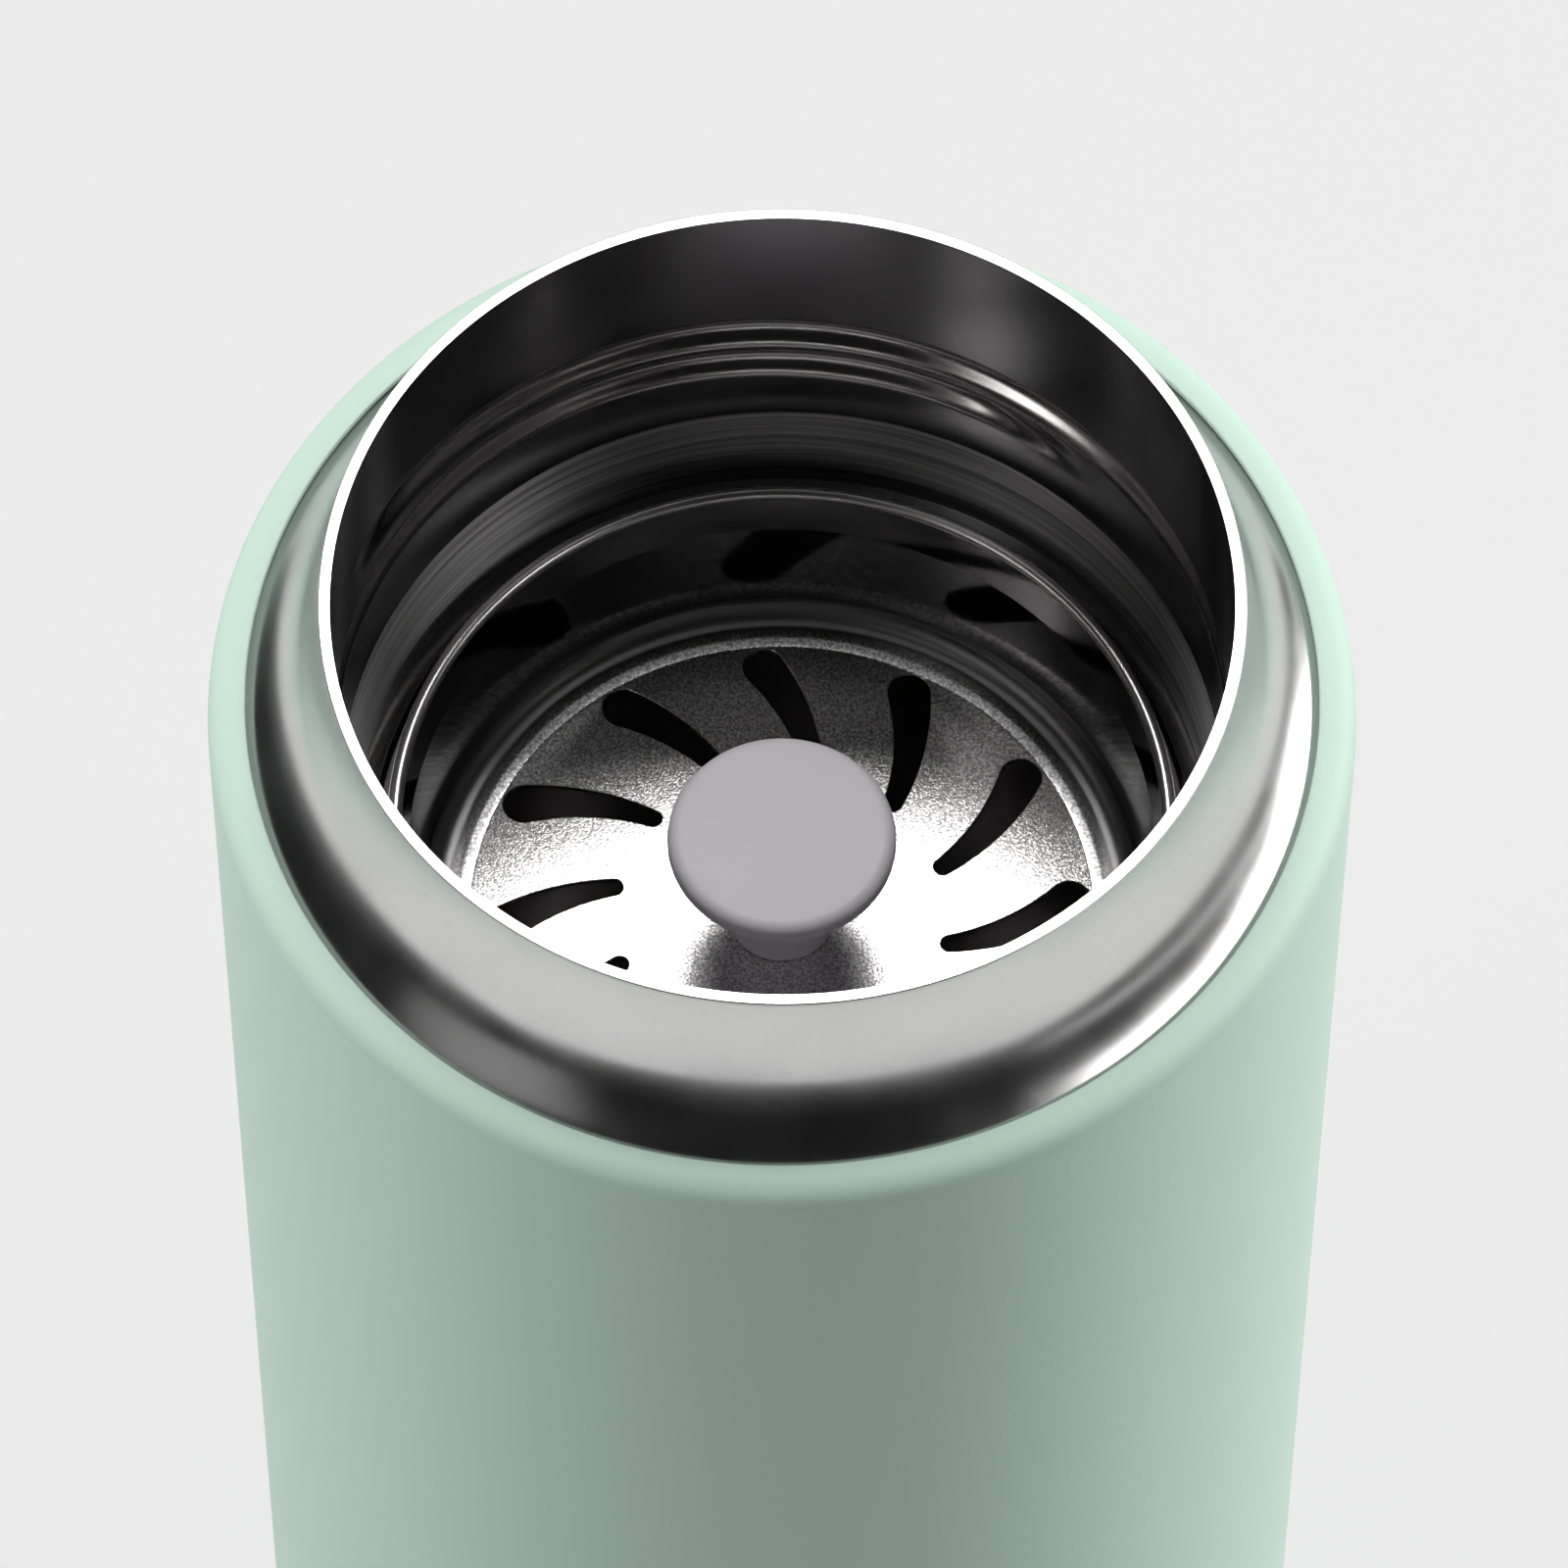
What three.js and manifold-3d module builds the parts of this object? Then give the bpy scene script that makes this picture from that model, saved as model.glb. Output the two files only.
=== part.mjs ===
// Vacuum-insulated travel mug, lid off, with a slotted strainer that lifts out of its mouth.
// Millimetres, +Z up. The mug stands on z = 0 and its axis is the Z axis.
import * as THREE from 'three';
import { mergeVertices } from 'three/addons/utils/BufferGeometryUtils.js';
import Module from 'manifold-3d';

const wasm = await Module();
wasm.setup();

// Whole mug
const BODY_RADIUS = 37.5;
const MUG_HEIGHT = 165;
const VACUUM_GAP = 3.1;
const SHELL_WALL = 0.5;
const LINER_WALL = 0.35;
const COLLAR_WALL = 0.35;

// Gaps between neighbours: welded or seated, pressed in, and free to turn or slide
const SEAT_GAP = 0.05;
const PRESS_GAP = 0.2;
const RUNNING_GAP = 0.3;

// Painted shoulder, bare collar and lip
const SHOULDER_FLAT = 0.5;
const SHOULDER_ROUND = 2;
const COLLAR_HEIGHT = 11.7;
const COLLAR_FLARE = 5.13;
const LIP_DEPTH = 1;
const LIP_ROUND = 0.3;

// Rolled thread: rounded grooves in the mouth, measured down from the lip
const THREAD_STARTS = 2;
const THREAD_LEAD = 8;
const THREAD_SWEEP = 293;
const THREAD_AZIMUTH = 165;
const THREAD_TOP = 12.5;
const THREAD_WIDTH = 2.8;
const THREAD_DEPTH = 0.9;
const THREAD_RUNOUT = 22;

// Turned band below the thread, throat and the ledge that carries the strainer
const BAND_TOP = 24;
const BAND_HEIGHT = 7.4;
const BAND_RELIEF = 0.07;
const BAND_TAPER = 0.7;
const THROAT_STEP = 1.1;
const THROAT_CHAMFER = 0.5;
const THROAT_HEIGHT = 4.1;
const LEDGE_WIDTH = 1.5;
const LEDGE_HEIGHT = 2;
const LINER_SHOULDER = 10;

// Strainer: seal ring, basket and slots
const SEAL_HEIGHT = 3.9;
const SEAL_WIDTH = 1.5;
const SEAL_ROUND = 0.5;
const BASKET_WALL = 0.4;
const RIM_STEP = 0.65;
const RIM_HEIGHT = 3.7;
const RIM_BEAD = 0.5;
const BASKET_DEPTH = 13;
const BASKET_DRAFT = 1.7;
const FLOOR_ROUND = 1;
const FLOOR_BEAD_INSET = 0.95;
const FLOOR_BEAD_WIDTH = 1.1;
const FLOOR_BEAD_HEIGHT = 0.35;
const SLOT_COUNT = 12;
const SLOT_MARGIN = 0.17;
const SLOT_HEAD = 1.45;
const SLOT_TAIL = 0.63;
const SLOT_REACH = 7.94;
const SLOT_SWEEP = 14.4;
const SLOT_BOW = 0.58;
const SLOT_AZIMUTH = 3.7;

// Knob and the rivet that holds it
const KNOB_RADIUS = 7.63;
const KNOB_HEIGHT = 11.2;
const KNOB_CAP = 1.9;
const KNOB_ROUND = 0.6;
const STEM_RADIUS = 3.6;
const STEM_FILLET = 1.2;
const RIVET_RADIUS = 1.5;
const RIVET_HEIGHT = 6.5;
const RIVET_HEAD_RADIUS = 2.6;
const RIVET_HEAD = 1.2;
const PEEN_RADIUS = 2.4;
const PEEN_HEIGHT = 0.8;
const WASHER_RADIUS = 4.5;
const WASHER_THICKNESS = 0.6;

// Base
const FOOT_ROUND = 3;
const FOOT_LIP = 1;
const FOOT_RISE = 0.7;
const PAD_THICKNESS = 1.5;
const PAD_MARGIN = 0.5;
const PAD_CHAMFER = 0.4;
const COVER_WALL = 0.5;
const COVER_DEPTH = 2.5;
const COVER_ROUND = 1;
const BOTTOM_WALL = 0.5;
const BOTTOM_RIM = 5;
const BOTTOM_ROUND = 2;
const DIMPLE_RADIUS = 5;
const DIMPLE_SLOPE = 1.5;
const DIMPLE_DEPTH = 2;
const VACUUM_BEAD_RADIUS = 3;
const VACUUM_BEAD_DEPTH = 1.2;
const GETTER_RADIUS = 4;
const GETTER_HEIGHT = 1.4;
const GETTER_OFFSET = 18;
const HOLDER_WALL = 0.3;
const LINER_FLOOR = 10;
const LINER_BASE_HEIGHT = 6;
const LINER_BASE_ROUND = 5;
const FOIL_THICKNESS = 0.1;
const FOIL_MARGIN = 3;

// Flat sides that stand for a full turn, steps in a rounded corner or curve, and a thread facet's height
const FACETS = 36;
const SMALL_FACETS = 24;
const CORNER_STEPS = 3;
const CURVE_STEPS = 6;
const THREAD_ROW = 0.8;
const AXIS_TOLERANCE = 1e-6;

// Finishes
const POWDER_COAT = { color: 0xb9d6c6, roughness: 0.55, metalness: 0 };
const POLISHED_STEEL = { color: 0xb9b7b8, roughness: 0.22, metalness: 1 };
const TURNED_STEEL = { color: 0x8f8c8e, roughness: 0.3, metalness: 1 };
const PLAIN_STEEL = { color: 0xb0aeae, roughness: 0.35, metalness: 1 };
const SILICONE = { color: 0xaba9ad, roughness: 0.65, metalness: 0 };
const COPPER_FOIL = { color: 0xb87b5a, roughness: 0.25, metalness: 1 };
const SEALING_GLASS = { color: 0x5a6a62, roughness: 0.15, metalness: 0 };
const GETTER_METAL = { color: 0x4d4a48, roughness: 0.8, metalness: 0.4 };

const radians = THREE.MathUtils.degToRad;
const degrees = THREE.MathUtils.radToDeg;
const at = (radius, height) => new THREE.Vector2(radius, height);

// Points of an arc in the profile plane; angles in degrees, 0 points away from the axis.
function arc(centre, radius, from, to, steps = CORNER_STEPS) {
  const [start, end] = [radians(from), radians(to)];
  return new THREE.EllipseCurve(centre.x, centre.y, radius, radius, start, end, end < start).getPoints(steps);
}

// The other face of a sheet: the path moved to its right by the wall's thickness, with mitred corners.
function otherFace(path, wall) {
  const normals = path.slice(1).map((point, i) => {
    const along = point.clone().sub(path[i]).normalize();
    return at(along.y, -along.x);
  });
  return path.map((point, i) => {
    const before = normals[Math.max(i - 1, 0)];
    const after = normals[Math.min(i, normals.length - 1)];
    const mitre = before.clone().add(after).normalize();
    return point.clone().addScaledVector(mitre, wall / mitre.dot(after));
  });
}

// A solid of revolution about Z from a profile that starts and ends on the axis, or is a closed ring.
function turned(profile, facets = FACETS) {
  const points = THREE.ShapeUtils.area(profile) < 0 ? [...profile].reverse() : [...profile];
  const onAxis = (point) => Math.abs(point.x) < AXIS_TOLERANCE;
  if (!(onAxis(points[0]) && onAxis(points.at(-1)))) points.push(points[0].clone());
  return new THREE.LatheGeometry(points, facets).rotateX(Math.PI / 2);
}

// A turned wall of sheet metal, to the right of the path that one of its faces follows.
function sheet(path, wall, facets = FACETS) {
  return turned([...path].reverse().concat(otherFace(path, wall)), facets);
}

function solid(geometry) {
  const bare = geometry.clone();
  bare.deleteAttribute('normal');
  bare.deleteAttribute('uv');
  const merged = mergeVertices(bare);
  const vertProperties = new Float32Array(merged.attributes.position.array);
  const triVerts = new Uint32Array(merged.index.array);
  return new wasm.Manifold(new wasm.Mesh({ numProp: 3, vertProperties, triVerts }));
}

function geometryOf(manifold) {
  const { vertProperties, triVerts } = manifold.getMesh();
  const geometry = new THREE.BufferGeometry();
  geometry.setAttribute('position', new THREE.BufferAttribute(new Float32Array(vertProperties), 3));
  geometry.setIndex(new THREE.BufferAttribute(new Uint32Array(triVerts), 1));
  geometry.computeVertexNormals();
  return geometry;
}

function piece(name, geometry, finish) {
  const mesh = new THREE.Mesh(geometry, new THREE.MeshStandardMaterial(finish));
  mesh.name = name;
  return mesh;
}

// Radii, from the body inwards
const shellInner = BODY_RADIUS - SHELL_WALL;
const shoulderEdge = BODY_RADIUS - SHOULDER_ROUND - SHOULDER_FLAT;
const lipOuter = shoulderEdge - COLLAR_FLARE;
const mouthRadius = lipOuter - COLLAR_WALL - SEAT_GAP - LINER_WALL;
const bandTopRadius = mouthRadius + BAND_RELIEF;
const bandLowRadius = bandTopRadius - BAND_TAPER;
const throatRadius = bandLowRadius - THROAT_STEP;
const ledgeRadius = throatRadius - LEDGE_WIDTH;
const linerOuter = shellInner - VACUUM_GAP;
const linerBore = linerOuter - LINER_WALL;

// Heights, from the table up and from the lip down
const coverZ = PAD_THICKNESS + SEAT_GAP;
const bottomZ = coverZ + COVER_DEPTH + SEAT_GAP;
const seamZ = LINER_FLOOR + LINER_BASE_HEIGHT;
const shoulderZ = MUG_HEIGHT - COLLAR_HEIGHT;
const bandTopZ = MUG_HEIGHT - BAND_TOP;
const bandLowZ = bandTopZ - BAND_HEIGHT;
const throatZ = bandLowZ - THROAT_CHAMFER;
const ledgeZ = throatZ - THROAT_HEIGHT;
const neckLowZ = ledgeZ - LEDGE_HEIGHT;
const linerShoulderZ = neckLowZ - LINER_SHOULDER;

function outerShell() {
  const path = [
    at(shoulderEdge, shoulderZ),
    ...arc(at(BODY_RADIUS - SHOULDER_ROUND, shoulderZ - SHOULDER_ROUND), SHOULDER_ROUND, 90, 0),
    ...arc(at(BODY_RADIUS - FOOT_ROUND, FOOT_RISE + FOOT_ROUND), FOOT_ROUND, 0, -90),
    at(BODY_RADIUS - FOOT_ROUND - FOOT_LIP, FOOT_RISE),
  ];
  return piece('outer_shell', sheet(path, SHELL_WALL), POWDER_COAT);
}

// The flare is one arc: upright at the lip, and out to the painted shoulder, under which it is welded.
function neckCollar() {
  const top = at(lipOuter, MUG_HEIGHT - LIP_DEPTH - SEAT_GAP);
  const low = at(shoulderEdge, shoulderZ - SHELL_WALL - SEAT_GAP);
  const drop = top.y - low.y;
  const radius = (COLLAR_FLARE ** 2 + drop ** 2) / (2 * COLLAR_FLARE);
  const turn = degrees(Math.atan2(drop, radius - COLLAR_FLARE));
  const path = [
    ...arc(at(lipOuter + radius, top.y), radius, 180, 180 + turn, CURVE_STEPS),
    at(low.x + SHOULDER_FLAT - SEAT_GAP, low.y),
  ];
  return piece('neck_collar', sheet(path, COLLAR_WALL), POLISHED_STEEL);
}

// How far the rolled thread pushes the mouth wall out at an azimuth in degrees and a height.
function threadDepth(azimuth, height) {
  let depth = 0;
  for (let start = 0; start < THREAD_STARTS; start += 1) {
    const first = THREAD_AZIMUTH + start * 360 / THREAD_STARTS;
    const past = THREE.MathUtils.euclideanModulo(first - azimuth, 360);
    for (let along = past; along < THREAD_SWEEP; along += 360) {
      const centre = MUG_HEIGHT - THREAD_TOP - THREAD_LEAD * along / 360;
      const across = Math.min(Math.abs(height - centre) / THREAD_WIDTH, 0.5);
      const runout = THREE.MathUtils.smoothstep(Math.min(along, THREAD_SWEEP - along), 0, THREAD_RUNOUT);
      depth = Math.max(depth, THREAD_DEPTH * runout * Math.cos(Math.PI * across) ** 2);
    }
  }
  return depth;
}

function rollThread(geometry) {
  const position = geometry.attributes.position;
  const point = new THREE.Vector3();
  for (let i = 0; i < position.count; i += 1) {
    point.fromBufferAttribute(position, i);
    const azimuth = degrees(Math.atan2(point.y, point.x));
    const scale = 1 + threadDepth(azimuth, point.z) / Math.hypot(point.x, point.y);
    position.setXY(i, point.x * scale, point.y * scale);
  }
  geometry.computeVertexNormals();
  return geometry;
}

function innerLiner() {
  const threadHighZ = MUG_HEIGHT - THREAD_TOP + THREAD_WIDTH / 2;
  const threadLowZ = threadHighZ - THREAD_WIDTH - THREAD_LEAD * THREAD_SWEEP / 360;
  const rows = Math.ceil((threadHighZ - threadLowZ) / THREAD_ROW);
  const flare = new THREE.CubicBezierCurve(
    at(linerBore, linerShoulderZ),
    at(linerBore, linerShoulderZ + LINER_SHOULDER / 2),
    at(ledgeRadius, neckLowZ - LINER_SHOULDER / 2),
    at(ledgeRadius, neckLowZ),
  );
  const inside = [
    at(linerBore, seamZ + SEAT_GAP),
    ...flare.getPoints(CURVE_STEPS),
    at(ledgeRadius, ledgeZ),
    at(throatRadius, ledgeZ),
    at(throatRadius, throatZ),
    at(bandLowRadius, bandLowZ),
    at(bandTopRadius, bandTopZ),
    at(mouthRadius, bandTopZ + BAND_RELIEF),
    ...Array.from({ length: rows + 1 }, (_, i) =>
      at(mouthRadius, THREE.MathUtils.lerp(threadLowZ, threadHighZ, i / rows))),
    at(mouthRadius, MUG_HEIGHT - LIP_DEPTH),
  ];
  const outside = otherFace(inside, LINER_WALL).reverse();
  const lip = [
    ...arc(at(mouthRadius + LIP_ROUND, MUG_HEIGHT - LIP_ROUND), LIP_ROUND, 180, 90),
    ...arc(at(lipOuter - LIP_ROUND, MUG_HEIGHT - LIP_ROUND), LIP_ROUND, 90, 0),
    at(lipOuter, MUG_HEIGHT - LIP_DEPTH),
  ];
  const geometry = rollThread(turned([...inside, ...lip, ...outside]));
  return piece('inner_liner', geometry, TURNED_STEEL);
}

function linerBase() {
  const path = [
    at(linerOuter, seamZ),
    ...arc(at(linerOuter - LINER_BASE_ROUND, LINER_FLOOR + LINER_BASE_ROUND), LINER_BASE_ROUND, 0, -90),
    at(0, LINER_FLOOR),
  ];
  return piece('liner_base', sheet(path, LINER_WALL), TURNED_STEEL);
}

function heatShieldFoil() {
  const inner = linerOuter + PRESS_GAP;
  const [low, high] = [seamZ + FOIL_MARGIN, linerShoulderZ - FOIL_MARGIN];
  return piece('heat_shield_foil', sheet([at(inner, low), at(inner, high)], FOIL_THICKNESS), COPPER_FOIL);
}

function shellBottom() {
  const rim = shellInner - PRESS_GAP;
  const path = [
    at(rim, bottomZ + BOTTOM_RIM),
    ...arc(at(rim - BOTTOM_ROUND, bottomZ + BOTTOM_ROUND), BOTTOM_ROUND, 0, -90),
    at(DIMPLE_RADIUS + DIMPLE_SLOPE, bottomZ),
    at(DIMPLE_RADIUS, bottomZ + DIMPLE_DEPTH),
    at(0, bottomZ + DIMPLE_DEPTH),
  ];
  return piece('shell_bottom', sheet(path, BOTTOM_WALL), PLAIN_STEEL);
}

function vacuumSeal() {
  const top = bottomZ + DIMPLE_DEPTH - SEAT_GAP;
  const dome = new THREE.EllipseCurve(0, top, VACUUM_BEAD_RADIUS, VACUUM_BEAD_DEPTH, -Math.PI / 2, 0);
  const bead = turned([...dome.getPoints(CURVE_STEPS), at(0, top)], SMALL_FACETS);
  return piece('vacuum_seal', bead, SEALING_GLASS);
}

function getterHolder() {
  const reach = GETTER_RADIUS + PRESS_GAP + HOLDER_WALL;
  const path = [at(reach, HOLDER_WALL + GETTER_HEIGHT), at(reach, 0), at(0, 0)];
  const holder = piece('getter_holder', sheet(path, HOLDER_WALL, SMALL_FACETS), PLAIN_STEEL);
  holder.position.set(GETTER_OFFSET, 0, bottomZ + BOTTOM_WALL + SEAT_GAP);
  return holder;
}

function getterPill() {
  const profile = [at(0, 0), at(GETTER_RADIUS, 0), at(GETTER_RADIUS, GETTER_HEIGHT), at(0, GETTER_HEIGHT)];
  const pill = piece('getter', turned(profile, SMALL_FACETS), GETTER_METAL);
  pill.position.set(GETTER_OFFSET, 0, bottomZ + BOTTOM_WALL + HOLDER_WALL + 2 * SEAT_GAP);
  return pill;
}

const coverRadius = BODY_RADIUS - FOOT_ROUND - FOOT_LIP - PRESS_GAP;

function baseCover() {
  const path = [
    at(coverRadius, coverZ + COVER_DEPTH),
    ...arc(at(coverRadius - COVER_ROUND, coverZ + COVER_ROUND), COVER_ROUND, 0, -90),
    at(0, coverZ),
  ];
  return piece('base_cover', sheet(path, COVER_WALL), PLAIN_STEEL);
}

function basePad() {
  const radius = coverRadius - COVER_ROUND - PAD_MARGIN;
  const profile = [
    at(0, 0),
    at(radius - PAD_CHAMFER, 0),
    at(radius, PAD_CHAMFER),
    at(radius, PAD_THICKNESS),
    at(0, PAD_THICKNESS),
  ];
  return piece('base_pad', turned(profile), SILICONE);
}

// The strainer's own heights are measured from the ledge that it seats on.
const sealOuter = throatRadius - RUNNING_GAP;
const sealInner = sealOuter - SEAL_WIDTH;
const sealTop = SEAT_GAP + SEAL_HEIGHT;
const basketLowRadius = sealInner - RUNNING_GAP;
const basketRimRadius = basketLowRadius + RIM_STEP;
const basketShoulder = sealTop + SEAT_GAP;
const rimTop = basketShoulder + RIM_HEIGHT;
const floorTop = rimTop - BASKET_DEPTH;
const floorUnder = floorTop - BASKET_WALL;
const floorRadius = basketLowRadius - BASKET_DRAFT;
const rivetHole = RIVET_RADIUS + PRESS_GAP;

function strainerSeal() {
  const profile = [
    at(sealInner, SEAT_GAP),
    ...arc(at(sealOuter - SEAL_ROUND, SEAT_GAP + SEAL_ROUND), SEAL_ROUND, -90, 0),
    ...arc(at(sealOuter - SEAL_ROUND, sealTop - SEAL_ROUND), SEAL_ROUND, 0, 90),
    at(sealInner, sealTop),
  ];
  return piece('strainer_seal', turned(profile), SILICONE);
}

const floorBeadRadius = floorRadius - FLOOR_ROUND - FLOOR_BEAD_INSET;

// One slot in the strainer's floor: a bowed drop with a wide round head and a narrow round tail.
function slotOutline() {
  const headRadius = floorBeadRadius - FLOOR_BEAD_WIDTH / 2 - SLOT_MARGIN - SLOT_HEAD;
  const tailTurn = -radians(SLOT_SWEEP);
  const head = at(headRadius, 0);
  const tail = at(headRadius - SLOT_REACH, 0).rotateAround(at(0, 0), tailTurn);
  const chord = tail.clone().sub(head);
  const bow = at(chord.y, -chord.x).normalize().multiplyScalar(-2 * SLOT_BOW);
  const spine = new THREE.QuadraticBezierCurve(head, head.clone().add(tail).divideScalar(2).add(bow), tail);
  const side = (sign) => Array.from({ length: CURVE_STEPS - 1 }, (_, i) => {
    const along = (i + 1) / CURVE_STEPS;
    const tangent = spine.getTangent(along);
    const half = THREE.MathUtils.lerp(SLOT_HEAD, SLOT_TAIL, along);
    return spine.getPoint(along).add(at(-tangent.y, tangent.x).multiplyScalar(sign * half));
  });
  const cap = (end, radius) => {
    const tangent = spine.getTangent(end);
    const facing = degrees(Math.atan2(tangent.y, tangent.x)) + (end ? 0 : 180);
    return arc(spine.getPoint(end), radius, facing - 90, facing + 90, CURVE_STEPS);
  };
  return [...cap(0, SLOT_HEAD), ...side(-1), ...cap(1, SLOT_TAIL), ...side(1).reverse()];
}

function strainerBasket() {
  const rimCentre = at(basketRimRadius - BASKET_WALL / 2, rimTop - RIM_BEAD);
  const beadFoot = degrees(Math.acos(BASKET_WALL / 2 / RIM_BEAD));
  const rimBase = rimCentre.y - RIM_BEAD * Math.sin(radians(beadFoot));
  const outside = [
    at(basketRimRadius, rimBase),
    at(basketRimRadius, basketShoulder),
    at(basketLowRadius, basketShoulder),
    ...arc(at(floorRadius - FLOOR_ROUND, floorUnder + FLOOR_ROUND), FLOOR_ROUND, 0, -90),
    at(floorBeadRadius + FLOOR_BEAD_WIDTH / 2, floorUnder),
    at(floorBeadRadius, floorUnder + FLOOR_BEAD_HEIGHT),
    at(floorBeadRadius - FLOOR_BEAD_WIDTH / 2, floorUnder),
    at(rivetHole, floorUnder),
  ];
  const rim = arc(rimCentre, RIM_BEAD, -beadFoot, 180 + beadFoot, CURVE_STEPS).slice(1, -1);
  const inside = otherFace(outside, BASKET_WALL);
  const cup = solid(turned([...outside].reverse().concat(rim, inside)));
  const punch = new THREE.ExtrudeGeometry(new THREE.Shape(slotOutline()), {
    depth: 3 * BASKET_WALL,
    bevelEnabled: false,
  }).translate(0, 0, floorUnder - BASKET_WALL);
  let slotted = cup;
  for (let i = 0; i < SLOT_COUNT; i += 1) {
    const turn = radians(SLOT_AZIMUTH + i * 360 / SLOT_COUNT);
    slotted = slotted.subtract(solid(punch.clone().rotateZ(turn)));
  }
  return piece('strainer_basket', geometryOf(slotted), POLISHED_STEEL);
}

// A soft mushroom, hollow where the rivet's head and neck go up into its stem.
function strainerKnob() {
  const low = floorTop + SEAT_GAP;
  const top = floorTop + KNOB_HEIGHT;
  const capLow = top - KNOB_CAP;
  const headTop = floorTop + RIVET_HEIGHT + RUNNING_GAP;
  const headLow = headTop - RIVET_HEAD - 2 * RUNNING_GAP;
  const neck = RIVET_RADIUS + RUNNING_GAP;
  const head = RIVET_HEAD_RADIUS + RUNNING_GAP;
  const edge = KNOB_RADIUS - KNOB_ROUND;
  const profile = [
    at(0, headTop),
    at(head, headTop),
    at(head, headLow),
    at(neck, headLow),
    at(neck, low),
    at(STEM_RADIUS, low),
    ...arc(at(STEM_RADIUS + STEM_FILLET, capLow - STEM_FILLET), STEM_FILLET, 180, 90),
    ...arc(at(edge, capLow + KNOB_ROUND), KNOB_ROUND, -90, 0),
    ...arc(at(edge, top - KNOB_ROUND), KNOB_ROUND, 0, 90),
    at(0, top),
  ];
  return piece('knob', turned(profile, SMALL_FACETS), SILICONE);
}

const washerTop = floorUnder - SEAT_GAP;
const washerLow = washerTop - WASHER_THICKNESS;

function knobRivet() {
  const headTop = floorTop + RIVET_HEIGHT;
  const headLow = headTop - RIVET_HEAD;
  const peenTop = washerLow - SEAT_GAP;
  const profile = [
    at(0, peenTop - PEEN_HEIGHT),
    at(PEEN_RADIUS, peenTop - PEEN_HEIGHT),
    at(PEEN_RADIUS, peenTop),
    at(RIVET_RADIUS, peenTop),
    at(RIVET_RADIUS, headLow),
    at(RIVET_HEAD_RADIUS, headLow),
    at(RIVET_HEAD_RADIUS, headTop),
    at(0, headTop),
  ];
  return piece('knob_rivet', turned(profile, SMALL_FACETS), PLAIN_STEEL);
}

function rivetWasher() {
  const profile = [
    at(rivetHole, washerLow),
    at(WASHER_RADIUS, washerLow),
    at(WASHER_RADIUS, washerTop),
    at(rivetHole, washerTop),
  ];
  return piece('rivet_washer', turned(profile, SMALL_FACETS), PLAIN_STEEL);
}

const body = new THREE.Group();
body.add(outerShell(), neckCollar(), innerLiner(), linerBase(), heatShieldFoil());

const base = new THREE.Group();
base.add(shellBottom(), vacuumSeal(), getterHolder(), getterPill(), baseCover(), basePad());

const strainer = new THREE.Group();
strainer.position.z = ledgeZ;
strainer.add(strainerSeal(), strainerBasket(), strainerKnob(), knobRivet(), rivetWasher());

const mug = new THREE.Group();
mug.add(body, base, strainer);

export default mug;
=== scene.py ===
"""A vacuum travel mug with a lift-out strainer: fine meshes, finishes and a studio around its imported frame.

Metres, +Z up. The mug stands on z = 0 and its axis is the Z axis.
"""

import math
from typing import NamedTuple

import bmesh
import bpy
from bpy.props import FloatProperty, FloatVectorProperty, IntProperty, PointerProperty
from mathutils import Matrix, Vector


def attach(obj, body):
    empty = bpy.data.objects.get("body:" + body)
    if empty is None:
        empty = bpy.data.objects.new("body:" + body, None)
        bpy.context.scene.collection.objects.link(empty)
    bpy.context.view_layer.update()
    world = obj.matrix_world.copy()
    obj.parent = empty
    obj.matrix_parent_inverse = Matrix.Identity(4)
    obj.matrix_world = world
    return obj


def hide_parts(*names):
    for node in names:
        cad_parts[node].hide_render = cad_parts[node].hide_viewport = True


bl_info = {
    "name": "Travel Mug",
    "version": (1, 0, 0),
    "blender": (4, 5, 0),
    "location": "3D View > Sidebar > Mug",
    "description": "Models a vacuum travel mug with a lift-out strainer, and a studio for it",
    "category": "Object",
}

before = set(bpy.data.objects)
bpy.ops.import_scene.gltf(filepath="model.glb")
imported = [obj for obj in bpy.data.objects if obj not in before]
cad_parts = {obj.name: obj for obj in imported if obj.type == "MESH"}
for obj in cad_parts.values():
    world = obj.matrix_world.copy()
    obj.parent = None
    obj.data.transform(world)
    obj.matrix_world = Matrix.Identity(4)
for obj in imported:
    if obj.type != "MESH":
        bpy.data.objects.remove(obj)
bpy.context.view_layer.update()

MM = 0.001
CENTRE = Vector((0, 0, 0))
UP = Vector((0, 0, 1))

# Fineness of the meshes
TURN_STEPS = 192
SMALL_TURN_STEPS = 96
ROUND_STEPS = 6
ARC_STEPS = 24
SLOT_SIDE_STEPS = 14
SLOT_CAP_STEPS = 14
EDGE_STEPS = 2
SHARP_ANGLE = math.radians(50)
LEVEL_FACE = 0.999
MERGE_DISTANCE = 1e-7
THREAD_ROW = 0.11 * MM

# Ranges that a noise, and the sum of two, mostly keep to
NOISE_RANGE = (0.3, 0.7)
SUM_RANGE = (0.7, 1.3)

# Widths over which the strainer's finishes run into each other
FLOOR_TO_BEAD = 0.5 * MM
ROUND_TO_WALL = 0.8 * MM
WALL_TO_RIM = 0.2 * MM

# Material slots of the liner
SATIN, BAND, LIP = range(3)

# Stage, in metres
FLOOR_REACH = 8.0
FLOOR_DROP = 0.02 * MM
LAMP_DISTANCE = 1.0
FLAG_WIDTH = 0.96
FLAG_DISTANCE = 0.48
FLAG_LIFT = 0.001
FLAG_FADE = 0.13
FELT_FOOT = (0.15, 0.15, 0.15)
FELT_TOP = (0.01, 0.01, 0.01)

# Camera
SENSOR_WIDTH = 36.0
PHOTO_WIDTH = 1600
CLIP_START = 0.01


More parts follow.
